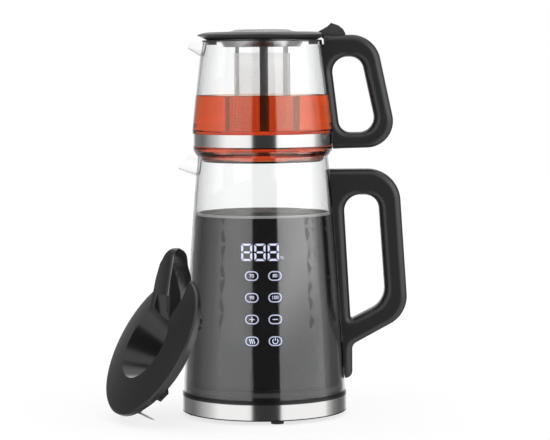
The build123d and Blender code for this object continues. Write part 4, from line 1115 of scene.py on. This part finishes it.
# ---------------------------------------------------------------- tea
@dataclass
class TeaFill:
    """The tea that stands in the glass teapot."""

    level: float = 301.4 * MM
    glass_floor: float = 2.6 * MM
    floor_gap: float = 0.05 * MM
    soak: float = 0.25 * MM
    meniscus: float = 0.7 * MM
    meniscus_width: float = 1.6 * MM
    rows: int = 26

    def build(self) -> list[bpy.types.Object]:
        """Make the tea to the inside of the glass.

        Returns:
            The tea.
        """
        probe = Probe("teapot_glass")
        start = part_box("teapot_glass")[0][2] + self.glass_floor + self.floor_gap
        heights = [start + (self.level - start) * row / self.rows for row in range(self.rows + 1)]
        profile = [(probe.inner_radius(height) + self.soak, height) for height in heights]
        wall = profile[-1][0]
        profile[-1] = (wall, self.level + self.meniscus)
        profile.append((wall - self.meniscus_width / 3, self.level + self.meniscus / 3))
        profile.append((wall - self.meniscus_width, self.level))
        profile.append((wall / 2, self.level))
        tea = finished(turned("tea_fill", profile), "tea_fill", Finishes.TEA)
        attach(tea, "teapot")
        return [tea]


# ---------------------------------------------------------------- studio
WHITE = (1.0, 1.0, 1.0, 1.0)


@dataclass
class Studio:
    """Pale floor, soft panels round the object and the camera, in metres and degrees."""

    distance: float = 2.064
    height: float = 0.333
    across: float = 0.0111
    lens: float = 143.0
    pitch: float = 4.14
    roll: float = -0.4
    clip: float = 0.1
    floor_r: float = 4.0
    floor_t: float = 1.0 * MM
    floor_points: int = 96
    floor_shade: float = 0.3
    floor_glow: float = 0.75
    floor_roughness: float = 0.9
    peak: float = 3.0
    low_peak: float = 1.3
    top: float = 1.3
    fill: float = 0.85
    clear: float = 0.96
    # heights, as the z of a unit direction, between which each light fades
    horizon: tuple[float, float] = (-0.04, 0.045)
    side_fade: tuple[float, float] = (0.55, 0.75)
    top_fade: tuple[float, float] = (0.6, 0.8)
    # degrees from straight in front, to the right, and the brightness there
    panels: tuple[tuple[float, float], ...] = (
        (-180, 1.0), (-162, 0.7), (-150, 0.25), (-118, 0.2), (-107, 0.34), (-83, 0.8), (-63, 1.4),
        (-44, 1.6), (-27, 1.45), (-19, 1.3), (-16, 0.05), (22, 0.05), (25, 2.2), (33, 2.5), (48, 2.95),
        (67, 2.95), (88, 2.1), (100, 0.77), (114, 0.29), (131, 0.15), (150, 0.25), (162, 0.7), (180, 1.0))

    def camera(self) -> None:
        """Place the camera in front, near the height of the top and tilted down a little."""
        data = bpy.data.cameras.new("camera")
        data.lens = self.lens
        data.clip_start = self.clip
        camera = bpy.data.objects.new("camera", data)
        bpy.context.scene.collection.objects.link(camera)
        camera.location = (self.across, -self.distance, self.height)
        tilt = Matrix.Rotation(math.radians(90 - self.pitch), 4, "X")
        spin = Matrix.Rotation(math.radians(self.roll), 4, "Z")
        camera.rotation_euler = (tilt @ spin).to_euler()
        bpy.context.scene.camera = camera

    def panel_light(self, graph: Graph, ray: Socket) -> Socket:
        """Brightness of the studio in a direction.

        Args:
            graph: The world's graph.
            ray: The direction.

        Returns:
            The brightness.
        """
        parts = graph.add("ShaderNodeSeparateXYZ", {0: ray}).outputs
        angle = graph.maths("ARCTAN2", parts["X"], graph.maths("MULTIPLY", parts["Y"], -1.0))
        share = graph.maths("ADD", graph.maths("DIVIDE", angle, math.tau), 0.5)
        ramp = graph.add("ShaderNodeValToRGB", {"Fac": share})
        stops = ramp.color_ramp.elements
        for degrees, light in self.panels[1:-1]:
            stop = stops.new((degrees + 180) / 360)
            stop.color = (light / self.peak,) * 3 + (1.0,)
        for stop, (_, light) in ((stops[0], self.panels[0]), (stops[-1], self.panels[-1])):
            stop.color = (light / self.peak,) * 3 + (1.0,)
        level = graph.maths("MULTIPLY", ramp.outputs["Color"], self.peak)
        cap = graph.between(parts["Z"], *self.horizon, self.low_peak, self.peak)
        high = graph.between(parts["Z"], *self.side_fade, 1.0, 0.0)
        sides = graph.maths("MULTIPLY", graph.maths("MINIMUM", level, cap), high)
        top = graph.between(parts["Z"], *self.top_fade, 0.0, self.top)
        return graph.maths("ADD", sides, top)

    def world(self) -> None:
        """Light the scene from all round; what is seen directly is plain white."""
        world = bpy.data.worlds.new("studio")
        bpy.context.scene.world = world
        world.use_nodes = True
        graph = Graph(world.node_tree)
        backdrop = next(node for node in world.node_tree.nodes if node.type == "BACKGROUND")
        ray = graph.add("ShaderNodeTexCoord").outputs["Generated"]
        studio = self.panel_light(graph, ray)
        path = graph.add("ShaderNodeLightPath").outputs
        unmirrored = graph.maths("LESS_THAN", path["Glossy Depth"], 0.5)
        straight = graph.maths("MULTIPLY", path["Is Transmission Ray"], unmirrored)
        through = graph.maths("MULTIPLY", straight, self.clear)
        seen = graph.maths("MAXIMUM", path["Is Camera Ray"], through)
        matt = path["Is Diffuse Ray"]
        rest = graph.maths("SUBTRACT", graph.maths("SUBTRACT", 1.0, seen), matt)
        soft = graph.maths("MULTIPLY", matt, self.fill)
        mirrored = graph.maths("MULTIPLY", studio, rest)
        total = graph.maths("ADD", graph.maths("ADD", seen, soft), mirrored)
        graph.feed(backdrop, {"Color": WHITE, "Strength": total})

    def floor(self) -> None:
        """Lay a pale floor that mirrors stay clear of."""
        mesh = turned("floor", [(self.floor_r, -self.floor_t), (self.floor_r, 0.0)], self.floor_points)
        floor = bpy.data.objects.new("floor", mesh)
        bpy.context.scene.collection.objects.link(floor)
        material, graph, shader = blank_material("pale_floor")
        graph.feed(shader, {"Base Color": (*(self.floor_shade,) * 3, 1.0), "Emission Color": WHITE,
                            "Emission Strength": self.floor_glow, "Roughness": self.floor_roughness,
                            "Specular IOR Level": 0.0})
        mesh.materials.append(material)
        keep_from_mirrors(floor)

    def build(self) -> None:
        """Make the whole studio."""
        self.camera()
        self.world()
        self.floor()
        scene = bpy.context.scene
        scene.view_settings.view_transform = "Standard"
        scene.view_settings.look = "None"


def main() -> None:
    """Build the studio, the finishes and every fine piece in order."""
    logging.basicConfig(level=logging.INFO, format="%(name)s: %(message)s")
    Studio().build()
    dress_frame_nodes()
    for maker in (TeaFill(), InfuserMesh(), LidSieves(), PanelMarks()):
        for piece in maker.build():
            LOG.info("%s: %d faces", piece.name, len(piece.data.polygons))


if __name__ == "__main__":
    main()
